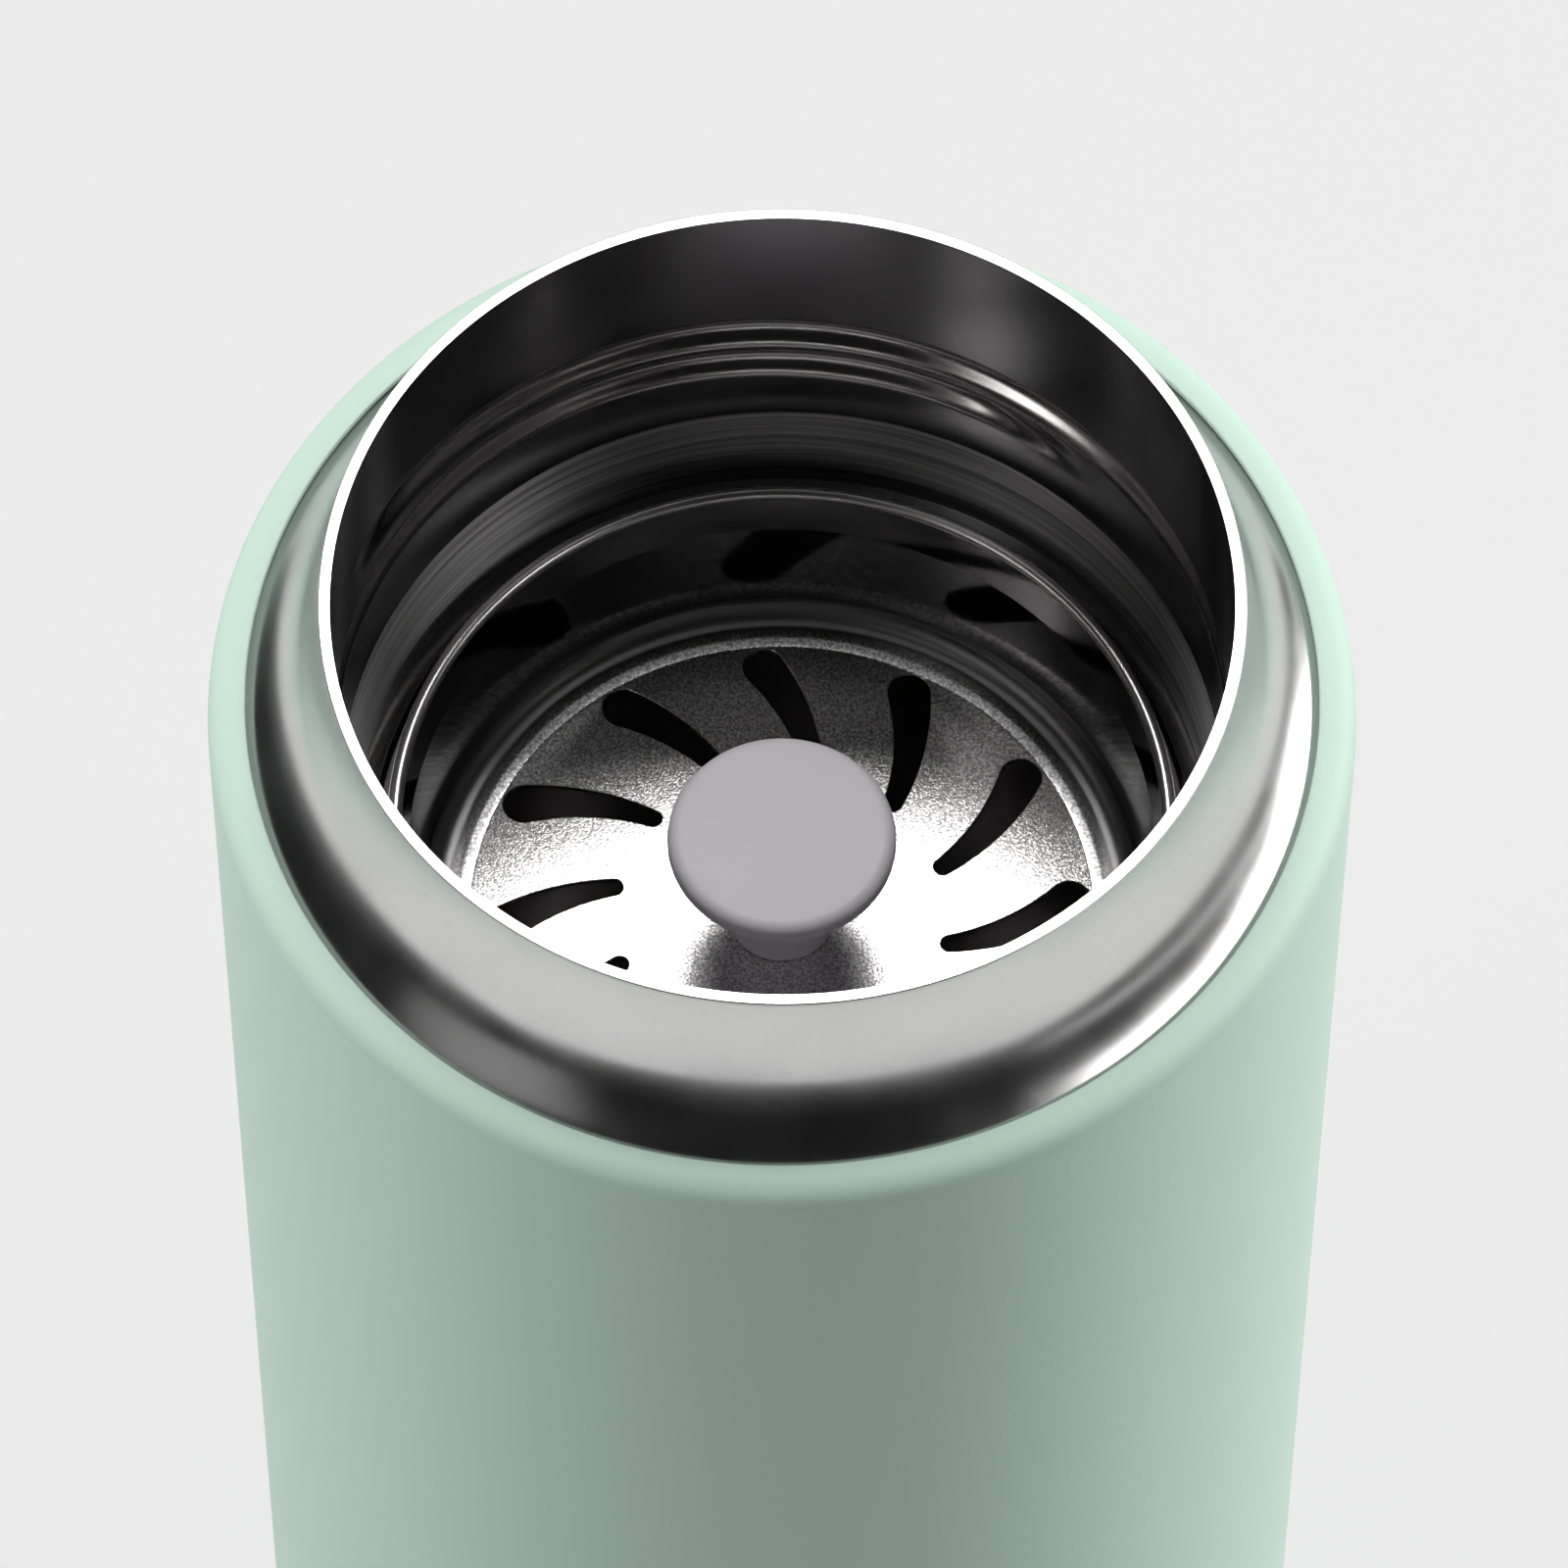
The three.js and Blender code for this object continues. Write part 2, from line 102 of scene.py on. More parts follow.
class Span(NamedTuple):
    """Where a turned piece lies: its lowest and highest z, and its smallest and largest radius."""

    low: float
    high: float
    inner: float
    outer: float


def span(node):
    points = [vertex.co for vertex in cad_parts[node].data.vertices]
    heights = [point.z for point in points]
    radii = [point.xy.length for point in points]
    return Span(min(heights), max(heights), min(radii), max(radii))


SHELL = span("outer_shell")
COLLAR = span("neck_collar")
LINER = span("inner_liner")
BASIN = span("liner_base")
SEAL = span("strainer_seal")
BASKET = span("strainer_basket")
KNOB = span("knob")
RIVET = span("knob_rivet")
WASHER = span("rivet_washer")
COVER = span("base_cover")
PAD = span("base_pad")


class Softbox(NamedTuple):
    """A soft lamp that faces the mouth: its place and roll in degrees, its size in metres, and its level."""

    name: str
    azimuth: float
    elevation: float
    width: float
    height: float
    level: float
    roll: float = 0.0
    in_steel: bool = True


SOFTBOXES = (
    Softbox("top softbox", azimuth=90, elevation=60.5, width=0.7, height=0.25, level=12.5),
    Softbox("ceiling", azimuth=90, elevation=78, width=0.6, height=0.2, level=1.2),
    Softbox("right softbox", azimuth=14.6, elevation=11.8, width=0.6, height=0.29, level=11, roll=-35),
    Softbox("right fill", azimuth=-16.3, elevation=28.7, width=0.6, height=0.29, level=4.2, roll=-24),
    Softbox("left softbox", azimuth=185, elevation=25, width=0.8, height=0.32, level=7.5, in_steel=False),
    Softbox("left bounce", azimuth=216, elevation=58, width=0.14, height=0.2, level=1.2),
    Softbox("left card", azimuth=219, elevation=14, width=0.5, height=0.75, level=0.28),
)


class Flag(NamedTuple):
    """A dark card: how far round from the front it stands, in degrees, and its height in metres."""

    side: float
    tall: float


FLAGS = (Flag(side=-90, tall=0.2), Flag(side=0, tall=0.2), Flag(side=90, tall=0.1))


def length(name, description, millimetres):
    return FloatProperty(name=name, description=description, default=millimetres * MM, min=0, precision=5,
                         subtype="DISTANCE", unit="LENGTH")


def turn(name, description, degrees):
    return FloatProperty(name=name, description=description, default=math.radians(degrees),
                         subtype="ANGLE", unit="ROTATION")


def colour(name, description, red, green, blue):
    return FloatVectorProperty(name=name, description=description, default=(red, green, blue), size=3,
                               min=0, max=1, subtype="COLOR")


def share(name, description, default):
    return FloatProperty(name=name, description=description, default=default, min=0, max=1, subtype="FACTOR")


class MugBodySizes(bpy.types.PropertyGroup):
    """Sizes of the mug that the frame's boxes do not give."""

    shell_wall: length("Shell wall", "Thickness of the painted outer sheet", 0.5)
    collar_wall: length("Collar wall", "Thickness of the bare collar's sheet", 0.35)
    liner_wall: length("Liner wall", "Thickness of the inner sheet", 0.35)
    weld_gap: length("Weld gap", "Gap left where two sheets are welded", 0.05)
    shoulder_width: length("Shoulder width", "How far the painted shoulder reaches in over the collar", 2.5)
    shoulder_round: length("Shoulder rounding", "Radius of the painted shoulder", 2)
    foot_round: length("Foot rounding", "Radius of the painted foot", 3)
    paint_edge: length("Paint edge", "Rounding of the paint where it ends", 0.12)
    collar_tilt: turn("Collar tilt", "Slope of the collar just below the lip", 3)
    collar_bend: turn("Collar bend", "Slope of the collar where it starts to bend faster", 20)
    collar_slope: turn("Collar slope", "Slope of the collar where it meets the painted shoulder", 54)
    lip_depth: length("Lip depth", "Height of the lip's outer side", 0.3)
    lip_edge: length("Lip edge", "Rounding of the lip's outer edge", 0.1)
    band_depth: length("Band depth", "How far the turned band starts below the lip", 24)
    band_height: length("Band height", "Height of the turned band", 7.4)
    band_relief: length("Band relief", "How far the band is cut into the mouth's wall", 0.07)
    band_taper: length("Band taper", "How far the band narrows towards its foot", 0.7)
    throat_step: length("Throat step", "Width of the sloped step below the band", 1.1)
    throat_drop: length("Throat drop", "Height of the sloped step below the band", 0.5)
    band_edge: length("Band edge", "Rounding at the foot of the band", 0.1)
    throat_round: length("Throat rounding", "Rounding at the top of the throat", 0.25)
    ledge_round: length("Ledge rounding", "Rounding of the ledge's edge and corner", 0.2)
    ledge_drop: length("Ledge drop", "Height of the ledge's bore", 2)
    ledge_width: length("Ledge width", "Width of the ledge that carries the strainer", 1.5)
    throat_height: length("Throat height", "Height of the throat above the ledge", 4.1)
    neck_height: length("Neck height", "Height over which the liner narrows to the ledge", 10)
    basin_round: length("Basin rounding", "Radius of the liner floor's outer corner", 5)
    cover_wall: length("Cover wall", "Thickness of the cover under the base", 0.5)
    cover_round: length("Cover rounding", "Radius of the cover's outer corner", 1)
    pad_round: length("Pad rounding", "Rounding of the pad's lower edge", 0.4)
    pad_edge: length("Pad edge", "Rounding of the pad's upper edge", 0.15)


class MugThreadSizes(bpy.types.PropertyGroup):
    """The rounded thread that is rolled into the mouth."""

    starts: IntProperty(name="Starts", description="Number of thread starts", default=2, min=1)
    lead: length("Lead", "Drop of one start in a full turn", 7.3)
    sweep: turn("Sweep", "How far each start runs round", 299)
    azimuth: turn("Azimuth", "Where the first start begins", 165)
    depth_below_lip: length("Depth below lip", "Where each start begins, below the lip", 12.55)
    width: length("Width", "Width of the groove", 3.5)
    depth: length("Depth", "Depth of the groove", 0.85)
    runout: turn("Run-out", "How far round each end takes to fade", 20)
    run_in: length("Run-in", "How far above its own line a start begins", 1.8)
    run_in_sweep: turn("Run-in sweep", "How far round a start takes to come down to its line", 60)


class MugStrainerSizes(bpy.types.PropertyGroup):
    """Sizes of the strainer, its knob and its seal."""

    wall: length("Wall", "Thickness of the basket's sheet", 0.4)
    seal_gap: length("Seal gap", "Gap between the basket's wall and the seal ring", 0.3)
    seat_gap: length("Seat gap", "Gap between the rim's foot and the seal ring", 0.05)
    seal_round: length("Seal rounding", "Rounding of the seal ring's outer edges", 0.5)
    rim_step: length("Rim step", "How far the rim stands out over the seal", 0.65)
    rim_bead: length("Rim bead", "Radius of the rolled rim", 0.5)
    draft: length("Draft", "How far the wall leans in from the seal to the floor", 0.8)
    floor_round: length("Floor rounding", "Outer radius between the wall and the floor", 1.9)
    bead_inset: length("Bead inset", "From the floor's rounding to the middle of the ring bead", 0.8)
    bead_width: length("Bead width", "Width of the ring bead in the floor", 1.6)
    bead_height: length("Bead height", "Height of the ring bead in the floor", 0.12)
    slots: IntProperty(name="Slots", description="Number of slots in the floor", default=12, min=3)
    slot_margin: length("Slot margin", "From a slot's head to the ring bead", 0.07)
    slot_head: length("Slot head", "Radius of a slot's outer end", 1.45)
    slot_tail: length("Slot tail", "Radius of a slot's inner end", 0.63)
    slot_reach: length("Slot reach", "How far a slot's tail lies in from its head, along the radius", 7.94)
    slot_sweep: turn("Slot sweep", "Turn from a slot's head to its tail", 14.4)
    slot_bow: length("Slot bow", "How far a slot's spine bows out", 0.58)
    slot_azimuth: turn("Slot azimuth", "Where the first slot's head lies", 3.7)
    slot_edge: length("Slot edge", "Rounding left by the punch along a slot", 0.07)
    knob_cap: length("Knob cap", "Thickness of the knob's disc", 1.45)
    knob_round: length("Knob rounding", "Rounding of the disc's upper edge", 0.9)
    knob_edge: length("Knob edge", "Rounding of the disc's lower edge", 0.2)
    stem_radius: length("Stem radius", "Radius of the knob's stem", 3.6)
    stem_edge: length("Stem edge", "Rounding of the stem's foot", 0.15)
    stem_fillet: length("Stem fillet", "Rounding between the stem and the disc", 1.2)
    rivet_radius: length("Rivet radius", "Radius of the rivet's shank", 1.5)
    rivet_head: length("Rivet head", "Thickness of the rivet's head", 1.2)
    rivet_edge: length("Rivet edge", "Rounding under the rivet's head", 0.1)
    rivet_round: length("Rivet rounding", "Rounding of the rivet's head", 0.3)
    rivet_clearance: length("Rivet clearance", "Gap between the rivet and the knob", 0.3)
    peen_radius: length("Peen radius", "Radius of the rivet's peened end", 2.4)
    peen_height: length("Peen height", "Thickness of the rivet's peened end", 0.8)
    peen_round: length("Peen rounding", "Rounding of the rivet's peened end", 0.72)
    washer_edge: length("Washer edge", "Rounding of the washer's outer edges", 0.1)


class MugFinishes(bpy.types.PropertyGroup):
    """Colours of the finishes."""

    mint: colour("Mint", "Powder coat", 0.595, 0.785, 0.675)
    steel: colour("Steel", "Polished steel", 0.7, 0.69, 0.69)
    # Painted shade: the steel inside the mug has a darker colour than the same steel outside, for the shade
    # in the mouth.
    inner_steel_painted_shade: colour("Turned steel", "Satin and turned steel inside the mug", 0.42, 0.41, 0.41)
    silicone: colour("Silicone", "Knob, seal and pad", 0.6, 0.585, 0.615)
    copper: colour("Copper", "Foil in the vacuum space", 0.8, 0.42, 0.26)


class MugStudio(bpy.types.PropertyGroup):
    """Floor, lamps and camera."""

    floor_colour: colour("Floor", "Colour that the floor is seen in", 0.9, 0.9, 0.9)
    floor_bounce: share("Floor bounce", "Share of the floor's colour that lights the mug", 0.6)
    floor_evenness: share("Floor evenness", "Share of the floor's paleness that no shadow takes away", 0.8)
    world_level: share("Room", "Light of the dark room round the lamps", 0.01)
    camera_lens: FloatProperty(name="Lens", description="Focal length", default=0.2644, unit="CAMERA")
    camera_distance: length("Camera distance", "From the camera to the point it looks at", 760.64)
    camera_elevation: turn("Camera elevation", "Height of the camera over the horizon", 59.833)
    camera_roll: turn("Camera roll", "Roll of the camera", 0.166)
    camera_shift: FloatProperty(name="Camera shift", default=2.05,
                                description="Sideways shift, in pixels of the photograph")
    aim_depth: length("Aim depth", "How far below the lip the camera looks at the axis", 23.7)


def sizes(context):
    scene = context.scene
    return scene.mug_body, scene.mug_thread, scene.mug_strainer


def basket_radius(strainer):
    """Outer radius of the basket's wall at the seal ring."""
    return SEAL.inner - strainer.seal_gap


def bead_radius(strainer):
    """Radius of the middle of the ring bead in the basket's floor."""
    return basket_radius(strainer) - strainer.draft - strainer.floor_round - strainer.bead_inset


def bead_foot(strainer):
    """Radius of the ring bead's inner foot."""
    return bead_radius(strainer) - strainer.bead_width / 2


class Wire:
    """A wire drawn from point to point in a plane, from which a turned or flat piece is made."""

    def __init__(self, start, plane_normal=Vector((0, 1, 0))):
        self.mesh = bmesh.new()
        self.plane_normal = plane_normal
        self.tip = bmesh.ops.create_vert(self.mesh, co=start)["vert"][0]
        self.start = self.tip
        self.corners = []

    def line(self, end, rounding=0.0):
        """Runs straight on to a point; a corner there is rounded to a radius once the wire is whole."""
        self.tip = bmesh.ops.extrude_vert_indiv(self.mesh, verts=[self.tip])["verts"][0]
        self.tip.co = end
        if rounding:
            self.corners.append((self.tip, rounding))
        return self

    def arc(self, centre, angle, steps=ARC_STEPS):
        """Turns about a centre."""
        spun = bmesh.ops.spin(self.mesh, geom=[self.tip], cent=centre, axis=self.plane_normal, angle=angle,
                              steps=steps, use_merge=False)
        self.tip = next(item for item in spun["geom_last"] if isinstance(item, bmesh.types.BMVert))
        return self

    def close(self):
        self.mesh.edges.new((self.tip, self.start))
        return self

    def round_corners(self):
        for corner, radius in self.corners:
            before, after = [(edge.other_vert(corner).co - corner.co) for edge in corner.link_edges]
            reach = radius / math.tan(before.angle(after) / 2)
            bmesh.ops.bevel(self.mesh, geom=[corner], offset=reach, offset_type="OFFSET", affect="VERTICES",
                            segments=ROUND_STEPS, profile=0.5, material=-1, clamp_overlap=False)
        self.corners.clear()
        return self

    def spin(self, steps=TURN_STEPS):
        """Turns the wire about the mug's axis and returns the surface, facing away from the axis."""
        self.round_corners()
        mesh = self.mesh
        bmesh.ops.spin(mesh, geom=mesh.verts[:] + mesh.edges[:], cent=CENTRE, axis=UP, angle=2 * math.pi,
                       steps=steps, use_merge=True)
        bmesh.ops.remove_doubles(mesh, verts=mesh.verts[:], dist=MERGE_DISTANCE)
        bmesh.ops.recalc_face_normals(mesh, faces=mesh.faces[:])
        return mesh


def at(radius, height):
    """A point of a profile."""
    return Vector((radius, 0, height))


def thicken(mesh, wall):
    """Gives a surface the thickness of its sheet, on the side that its faces point away from."""
    bmesh.ops.solidify(mesh, geom=mesh.faces[:], thickness=wall)
    return mesh


def move_into(mesh, other):
    """Moves all of another mesh into one that has lost no edges yet, and returns its edges there."""
    data = bpy.data.meshes.new("moved")
    other.to_mesh(data)
    other.free()
    count = len(mesh.edges)
    mesh.from_mesh(data)
    bpy.data.meshes.remove(data)
    mesh.edges.ensure_lookup_table()
    return mesh.edges[count:]


def soften(mesh, width):
    """Rounds every sharp edge of a closed mesh a little."""
    sharp = [edge for edge in mesh.edges if edge.calc_face_angle(0) > SHARP_ANGLE]
    bmesh.ops.bevel(mesh, geom=sharp, offset=width, offset_type="OFFSET", affect="EDGES",
                    segments=EDGE_STEPS, profile=0.5, material=-1, clamp_overlap=True)
    return mesh


def finish_piece(name, mesh, materials, body, slot, *nodes, even_shading=True):
    """Makes an object of a mesh, in its place, riding on its body and standing for its CAD nodes."""
    data = bpy.data.meshes.new(name)
    mesh.to_mesh(data)
    mesh.free()
    data.shade_smooth()
    data.set_sharp_from_angle(angle=SHARP_ANGLE)
    for material in materials:
        data.materials.append(material)
    made = bpy.data.objects.new(name, data)
    bpy.context.scene.collection.objects.link(made)
    if even_shading:
        made.modifiers.new("Even shading", "WEIGHTED_NORMAL").keep_sharp = True
    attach(made, body)
    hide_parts(*nodes)
    return made


class Finish:
    """A material in the making: its shader, and short ways to add and join nodes."""

    def __init__(self, name, colour, roughness=0.5, metallic=0.0):
        self.material = bpy.data.materials.new(name)
        self.material.use_nodes = True
        self.tree = self.material.node_tree
        self.shader = self.tree.nodes["Principled BSDF"]
        self.set("Base Color", (*colour, 1))
        self.set("Roughness", roughness)
        self.set("Metallic", metallic)
        self.place = self.add("ShaderNodeTexCoord").outputs["Object"]

    def set(self, socket, value):
        self.shader.inputs[socket].default_value = value

    def add(self, kind, settings=None, **inputs):
        """Adds a node, sets its options, and joins or sets its inputs."""
        node = self.tree.nodes.new(kind)
        for name, value in (settings or {}).items():
            setattr(node, name, value)
        for name, value in inputs.items():
            self.feed(node.inputs[name.replace("_", " ")], value)
        return node

    def feed(self, socket, value):
        if isinstance(value, bpy.types.NodeSocket):
            self.tree.links.new(value, socket)
        else:
            socket.default_value = value

    def math(self, operation, *values):
        node = self.tree.nodes.new("ShaderNodeMath")
        node.operation = operation
        for socket, value in zip(node.inputs, values):
            self.feed(socket, value)
        return node.outputs[0]

    def vector(self, operation, *values):
        node = self.tree.nodes.new("ShaderNodeVectorMath")
        node.operation = operation
        sockets = [socket for socket in node.inputs if socket.enabled]
        for socket, value in zip(sockets, values):
            self.feed(socket, value)
        return node.outputs["Value"] if operation == "LENGTH" else node.outputs["Vector"]

    def noise(self, scale, detail=2.0, roughness=0.5, place=None):
        """Noise over the piece, or over another place that is given."""
        node = self.add("ShaderNodeTexNoise", Vector=place or self.place, Scale=scale, Detail=detail,
                        Roughness=roughness)
        return node.outputs["Fac"]

    def between(self, value, low, high, start=0.0, end=1.0):
        """Maps a range of a value onto another, held at its ends."""
        node = self.add("ShaderNodeMapRange", {"clamp": True}, Value=value, From_Min=low, From_Max=high,
                        To_Min=start, To_Max=end)
        return node.outputs["Result"]

    def spread(self, noise, start, end):
        """Maps the usual range of a noise onto a range of values."""
        return self.between(noise, *NOISE_RANGE, start, end)

    def spread_sum(self, noise, other, start=0.0, end=1.0):
        """Maps the usual range of two added noises onto a range of values."""
        return self.between(self.math("ADD", noise, other), *SUM_RANGE, start, end)

    def mix(self, factor, one, other):
        """Mixes two numbers by a factor."""
        node = self.add("ShaderNodeMix", {"data_type": "FLOAT"})
        self.feed(node.inputs[0], factor)
        self.feed(node.inputs[2], one)
        self.feed(node.inputs[3], other)
        return node.outputs[0]

    def tint(self, factor, dark, light):
        """Mixes two colours by a factor."""
        node = self.add("ShaderNodeMix", {"data_type": "RGBA"})
        self.feed(node.inputs["Factor"], factor)
        self.feed(node.inputs[6], (*dark, 1))
        self.feed(node.inputs[7], (*light, 1))
        return node.outputs[2]

    def bump(self, height, distance, under=None):
        """Raises the surface by a height pattern, over another bump if there is one."""
        node = self.add("ShaderNodeBump", Height=height, Distance=distance)
        if under is not None:
            self.feed(node.inputs["Normal"], under)
        return node.outputs["Normal"]

    def join(self, socket, value):
        self.feed(self.shader.inputs[socket], value)

    def height(self):
        return self.add("ShaderNodeSeparateXYZ", Vector=self.place).outputs["Z"]

    def radius(self):
        return self.vector("LENGTH", self.vector("MULTIPLY", self.place, (1, 1, 0)))

    def turning_lines(self, across, around, fine):
        """Noise drawn out into lines round the axis: fine along a value, slow round the turn."""
        facing = self.vector("NORMALIZE", self.vector("MULTIPLY", self.place, (1, 1, 0)))
        slow = self.vector("MULTIPLY", facing, (around, around, 0))
        lifted = self.add("ShaderNodeCombineXYZ", Z=self.math("MULTIPLY", across, fine)).outputs[0]
        return self.noise(1.0, detail=3.0, roughness=0.6, place=self.vector("ADD", slow, lifted))

    def stretch_upright(self, anisotropy):
        """Stretches highlights upright, across the lines that turning leaves round a wall."""
        self.set("Anisotropic", anisotropy)
        self.join("Tangent", self.add("ShaderNodeCombineXYZ", Z=1.0).outputs[0])


def scaled(colour, factor):
    return tuple(channel * factor for channel in colour)


def powder_coat(finishes):
    mint = tuple(finishes.mint)
    coat = Finish("powder coat", mint)
    coat.set("Specular IOR Level", 0.2)
    grain = coat.noise(scale=3800, roughness=0.6)
    peel = coat.noise(scale=900, detail=1.0)
    coat.join("Base Color", coat.tint(grain, scaled(mint, 0.97), scaled(mint, 1.03)))
    coat.join("Roughness", coat.spread(grain, 0.46, 0.58))
    coat.join("Normal", coat.bump(grain, 0.008 * MM, coat.bump(peel, 0.01 * MM)))
    return coat.material


def polished_steel(finishes):
    steel = tuple(finishes.steel)
    polish = Finish("polished steel", steel, metallic=1.0)
    cloud = polish.noise(scale=160, detail=3.0)
    grain = polish.noise(scale=4000)
    polish.join("Roughness", polish.between(cloud, 0.35, 0.65, 0.2, 0.26))
    polish.join("Base Color", polish.tint(grain, scaled(steel, 0.95), scaled(steel, 1.04)))
    polish.join("Normal", polish.bump(grain, 0.0005 * MM))
    return polish.material


def satin_steel(finishes):
    # The darker colour of the inner steel is painted shade.
    steel = tuple(finishes.inner_steel_painted_shade)
    satin = Finish("satin steel", steel, metallic=1.0)
    lines = satin.turning_lines(satin.height(), around=1.5, fine=5000)
    cloud = satin.noise(scale=120, detail=3.0)
    satin.join("Roughness", satin.spread_sum(lines, cloud, 0.14, 0.19))
    satin.join("Base Color", satin.tint(cloud, scaled(steel, 0.94), scaled(steel, 1.04)))
    satin.join("Normal", satin.bump(lines, 0.0004 * MM))
    return satin.material


def turned_band_steel(finishes):
    # The darker colour of the inner steel is painted shade.
    steel = tuple(finishes.inner_steel_painted_shade)
    band = Finish("turned band steel", steel, metallic=1.0)
    lines = band.turning_lines(band.height(), around=0.6, fine=7000)
    streaks = band.turning_lines(band.height(), around=1.0, fine=2000)
    marks = band.spread_sum(lines, streaks)
    band.join("Roughness", band.spread(streaks, 0.44, 0.54))
    band.join("Base Color", band.tint(marks, scaled(steel, 0.35), scaled(steel, 1.6)))
    band.join("Normal", band.bump(lines, 0.004 * MM, band.bump(streaks, 0.006 * MM)))
    band.stretch_upright(0.95)
    return band.material


def lip_steel(finishes):
    steel = tuple(finishes.steel)
    lip = Finish("lip steel", steel, metallic=1.0)
    lines = lip.turning_lines(lip.radius(), around=1.0, fine=9000)
    lip.join("Roughness", lip.spread(lines, 0.28, 0.36))
    lip.join("Normal", lip.bump(lines, 0.0006 * MM))
    return lip.material


def strainer_steel(finishes, strainer):
    """A grained floor with a soft bead and painted glints, a polished wall darkened with painted shade, and a
    satin rim.
    """
    steel = tuple(finishes.steel)
    bright = Finish("strainer steel", steel, metallic=1.0)
    height = bright.height()
    radius = bright.radius()
    foot = bead_foot(strainer)
    round_high = BASKET.low + strainer.floor_round
    rim_low = BASKET.high - 1.5 * strainer.rim_bead
    on_round = bright.between(height, round_high - ROUND_TO_WALL, round_high, 1.0, 0.0)
    on_rim = bright.between(height, rim_low, rim_low + WALL_TO_RIM)
    on_bead = bright.between(radius, foot, foot + FLOOR_TO_BEAD)
    past_bead = bright.between(radius, foot + strainer.bead_width / 2, foot + strainer.bead_width)
    on_wall = bright.math("MULTIPLY", past_bead, bright.math("SUBTRACT", 1.0, on_rim))
    on_floor = bright.math("SUBTRACT", 1.0, bright.math("MAXIMUM", on_wall, on_rim))

    grain = bright.noise(scale=6500, detail=1.0)
    # Painted glints: a fine speckle that sets the floor's colour between 0.6 and 1.4 of the steel.
    painted_glints = bright.noise(scale=5200, detail=0.0)
    lines = bright.turning_lines(height, around=2.0, fine=7000)
    floor_rough = bright.mix(on_bead, bright.spread(grain, 0.18, 0.26), 0.4)
    wall_rough = bright.mix(on_round, bright.spread(lines, 0.06, 0.1), 0.36)
    rough = bright.mix(on_wall, floor_rough, wall_rough)
    bright.join("Roughness", bright.mix(on_rim, rough, 0.3))
    # Painted shade: the wall's colour is cut to 0.36 of the steel, and the rim's to 0.9.
    painted_shade_and_glints = bright.mix(on_wall, bright.spread(painted_glints, 0.6, 1.4), 0.36)
    bright.join("Base Color", bright.vector("SCALE", steel, bright.mix(on_rim, painted_shade_and_glints, 0.9)))
    peel = bright.math("MULTIPLY", grain, on_floor)
    bright.join("Normal", bright.bump(peel, 0.009 * MM, bright.bump(lines, 0.0003 * MM)))
    return bright.material


def plain_steel(finishes):
    steel = scaled(tuple(finishes.steel), 0.9)
    plain = Finish("plain steel", steel, metallic=1.0)
    lines = plain.turning_lines(plain.radius(), around=2.0, fine=5000)
    cloud = plain.noise(scale=150, detail=3.0)
    plain.join("Roughness", plain.spread_sum(lines, cloud, 0.24, 0.36))
    plain.join("Base Color", plain.tint(cloud, scaled(steel, 0.95), scaled(steel, 1.04)))
    plain.join("Normal", plain.bump(lines, 0.001 * MM))
    return plain.material


def grey_silicone(finishes):
    grey = tuple(finishes.silicone)
    soft = Finish("grey silicone", grey)
    skin = soft.noise(scale=2400)
    cloud = soft.noise(scale=220)
    soft.join("Base Color", soft.tint(cloud, scaled(grey, 0.97), scaled(grey, 1.03)))
    soft.join("Roughness", soft.spread(cloud, 0.5, 0.6))
    soft.join("Normal", soft.bump(skin, 0.003 * MM))
    return soft.material


def copper_foil(finishes):
    copper = tuple(finishes.copper)
    foil = Finish("copper foil", copper, roughness=0.2, metallic=1.0)
    crease = foil.add("ShaderNodeTexVoronoi", {"feature": "F1"}, Vector=foil.place, Scale=260.0)
    cloud = foil.noise(scale=90, detail=3.0)
    foil.join("Base Color", foil.tint(cloud, scaled(copper, 0.92), scaled(copper, 1.05)))
    foil.join("Normal", foil.bump(crease.outputs["Distance"], 0.05 * MM))
    return foil.material


def sealing_glass():
    glass = Finish("sealing glass", (0.09, 0.13, 0.11), roughness=0.1)
    flow = glass.noise(scale=500)
    glass.join("Base Color", glass.tint(flow, (0.07, 0.1, 0.085), (0.13, 0.18, 0.15)))
    glass.join("Normal", glass.bump(flow, 0.02 * MM))
    return glass.material


def getter_powder():
    pill = Finish("getter powder", (0.08, 0.075, 0.07), roughness=0.85)
    grain = pill.noise(scale=4000, detail=3.0)
    pill.join("Base Color", pill.tint(grain, (0.05, 0.048, 0.045), (0.13, 0.12, 0.11)))
    pill.join("Normal", pill.bump(grain, 0.02 * MM))
    return pill.material


def thread_push(point, thread):
    """How far the rolled thread pushes the mouth's wall out at a point."""
    azimuth = math.atan2(point.y, point.x)
    push = 0.0
    for start in range(thread.starts):
        along = (thread.azimuth + start * 2 * math.pi / thread.starts - azimuth) % (2 * math.pi)
        if along > thread.sweep:
            continue
        middle = LINER.high - thread.depth_below_lip - thread.lead * along / (2 * math.pi)
        middle += thread.run_in * max(0, 1 - along / thread.run_in_sweep) ** 2
        across = min(abs(point.z - middle) / thread.width, 0.5)
        fade = min(along, thread.sweep - along, thread.runout) / thread.runout
        fade = fade * fade * (3 - 2 * fade)
        push = max(push, thread.depth * fade * math.cos(math.pi * across) ** 2)
    return push


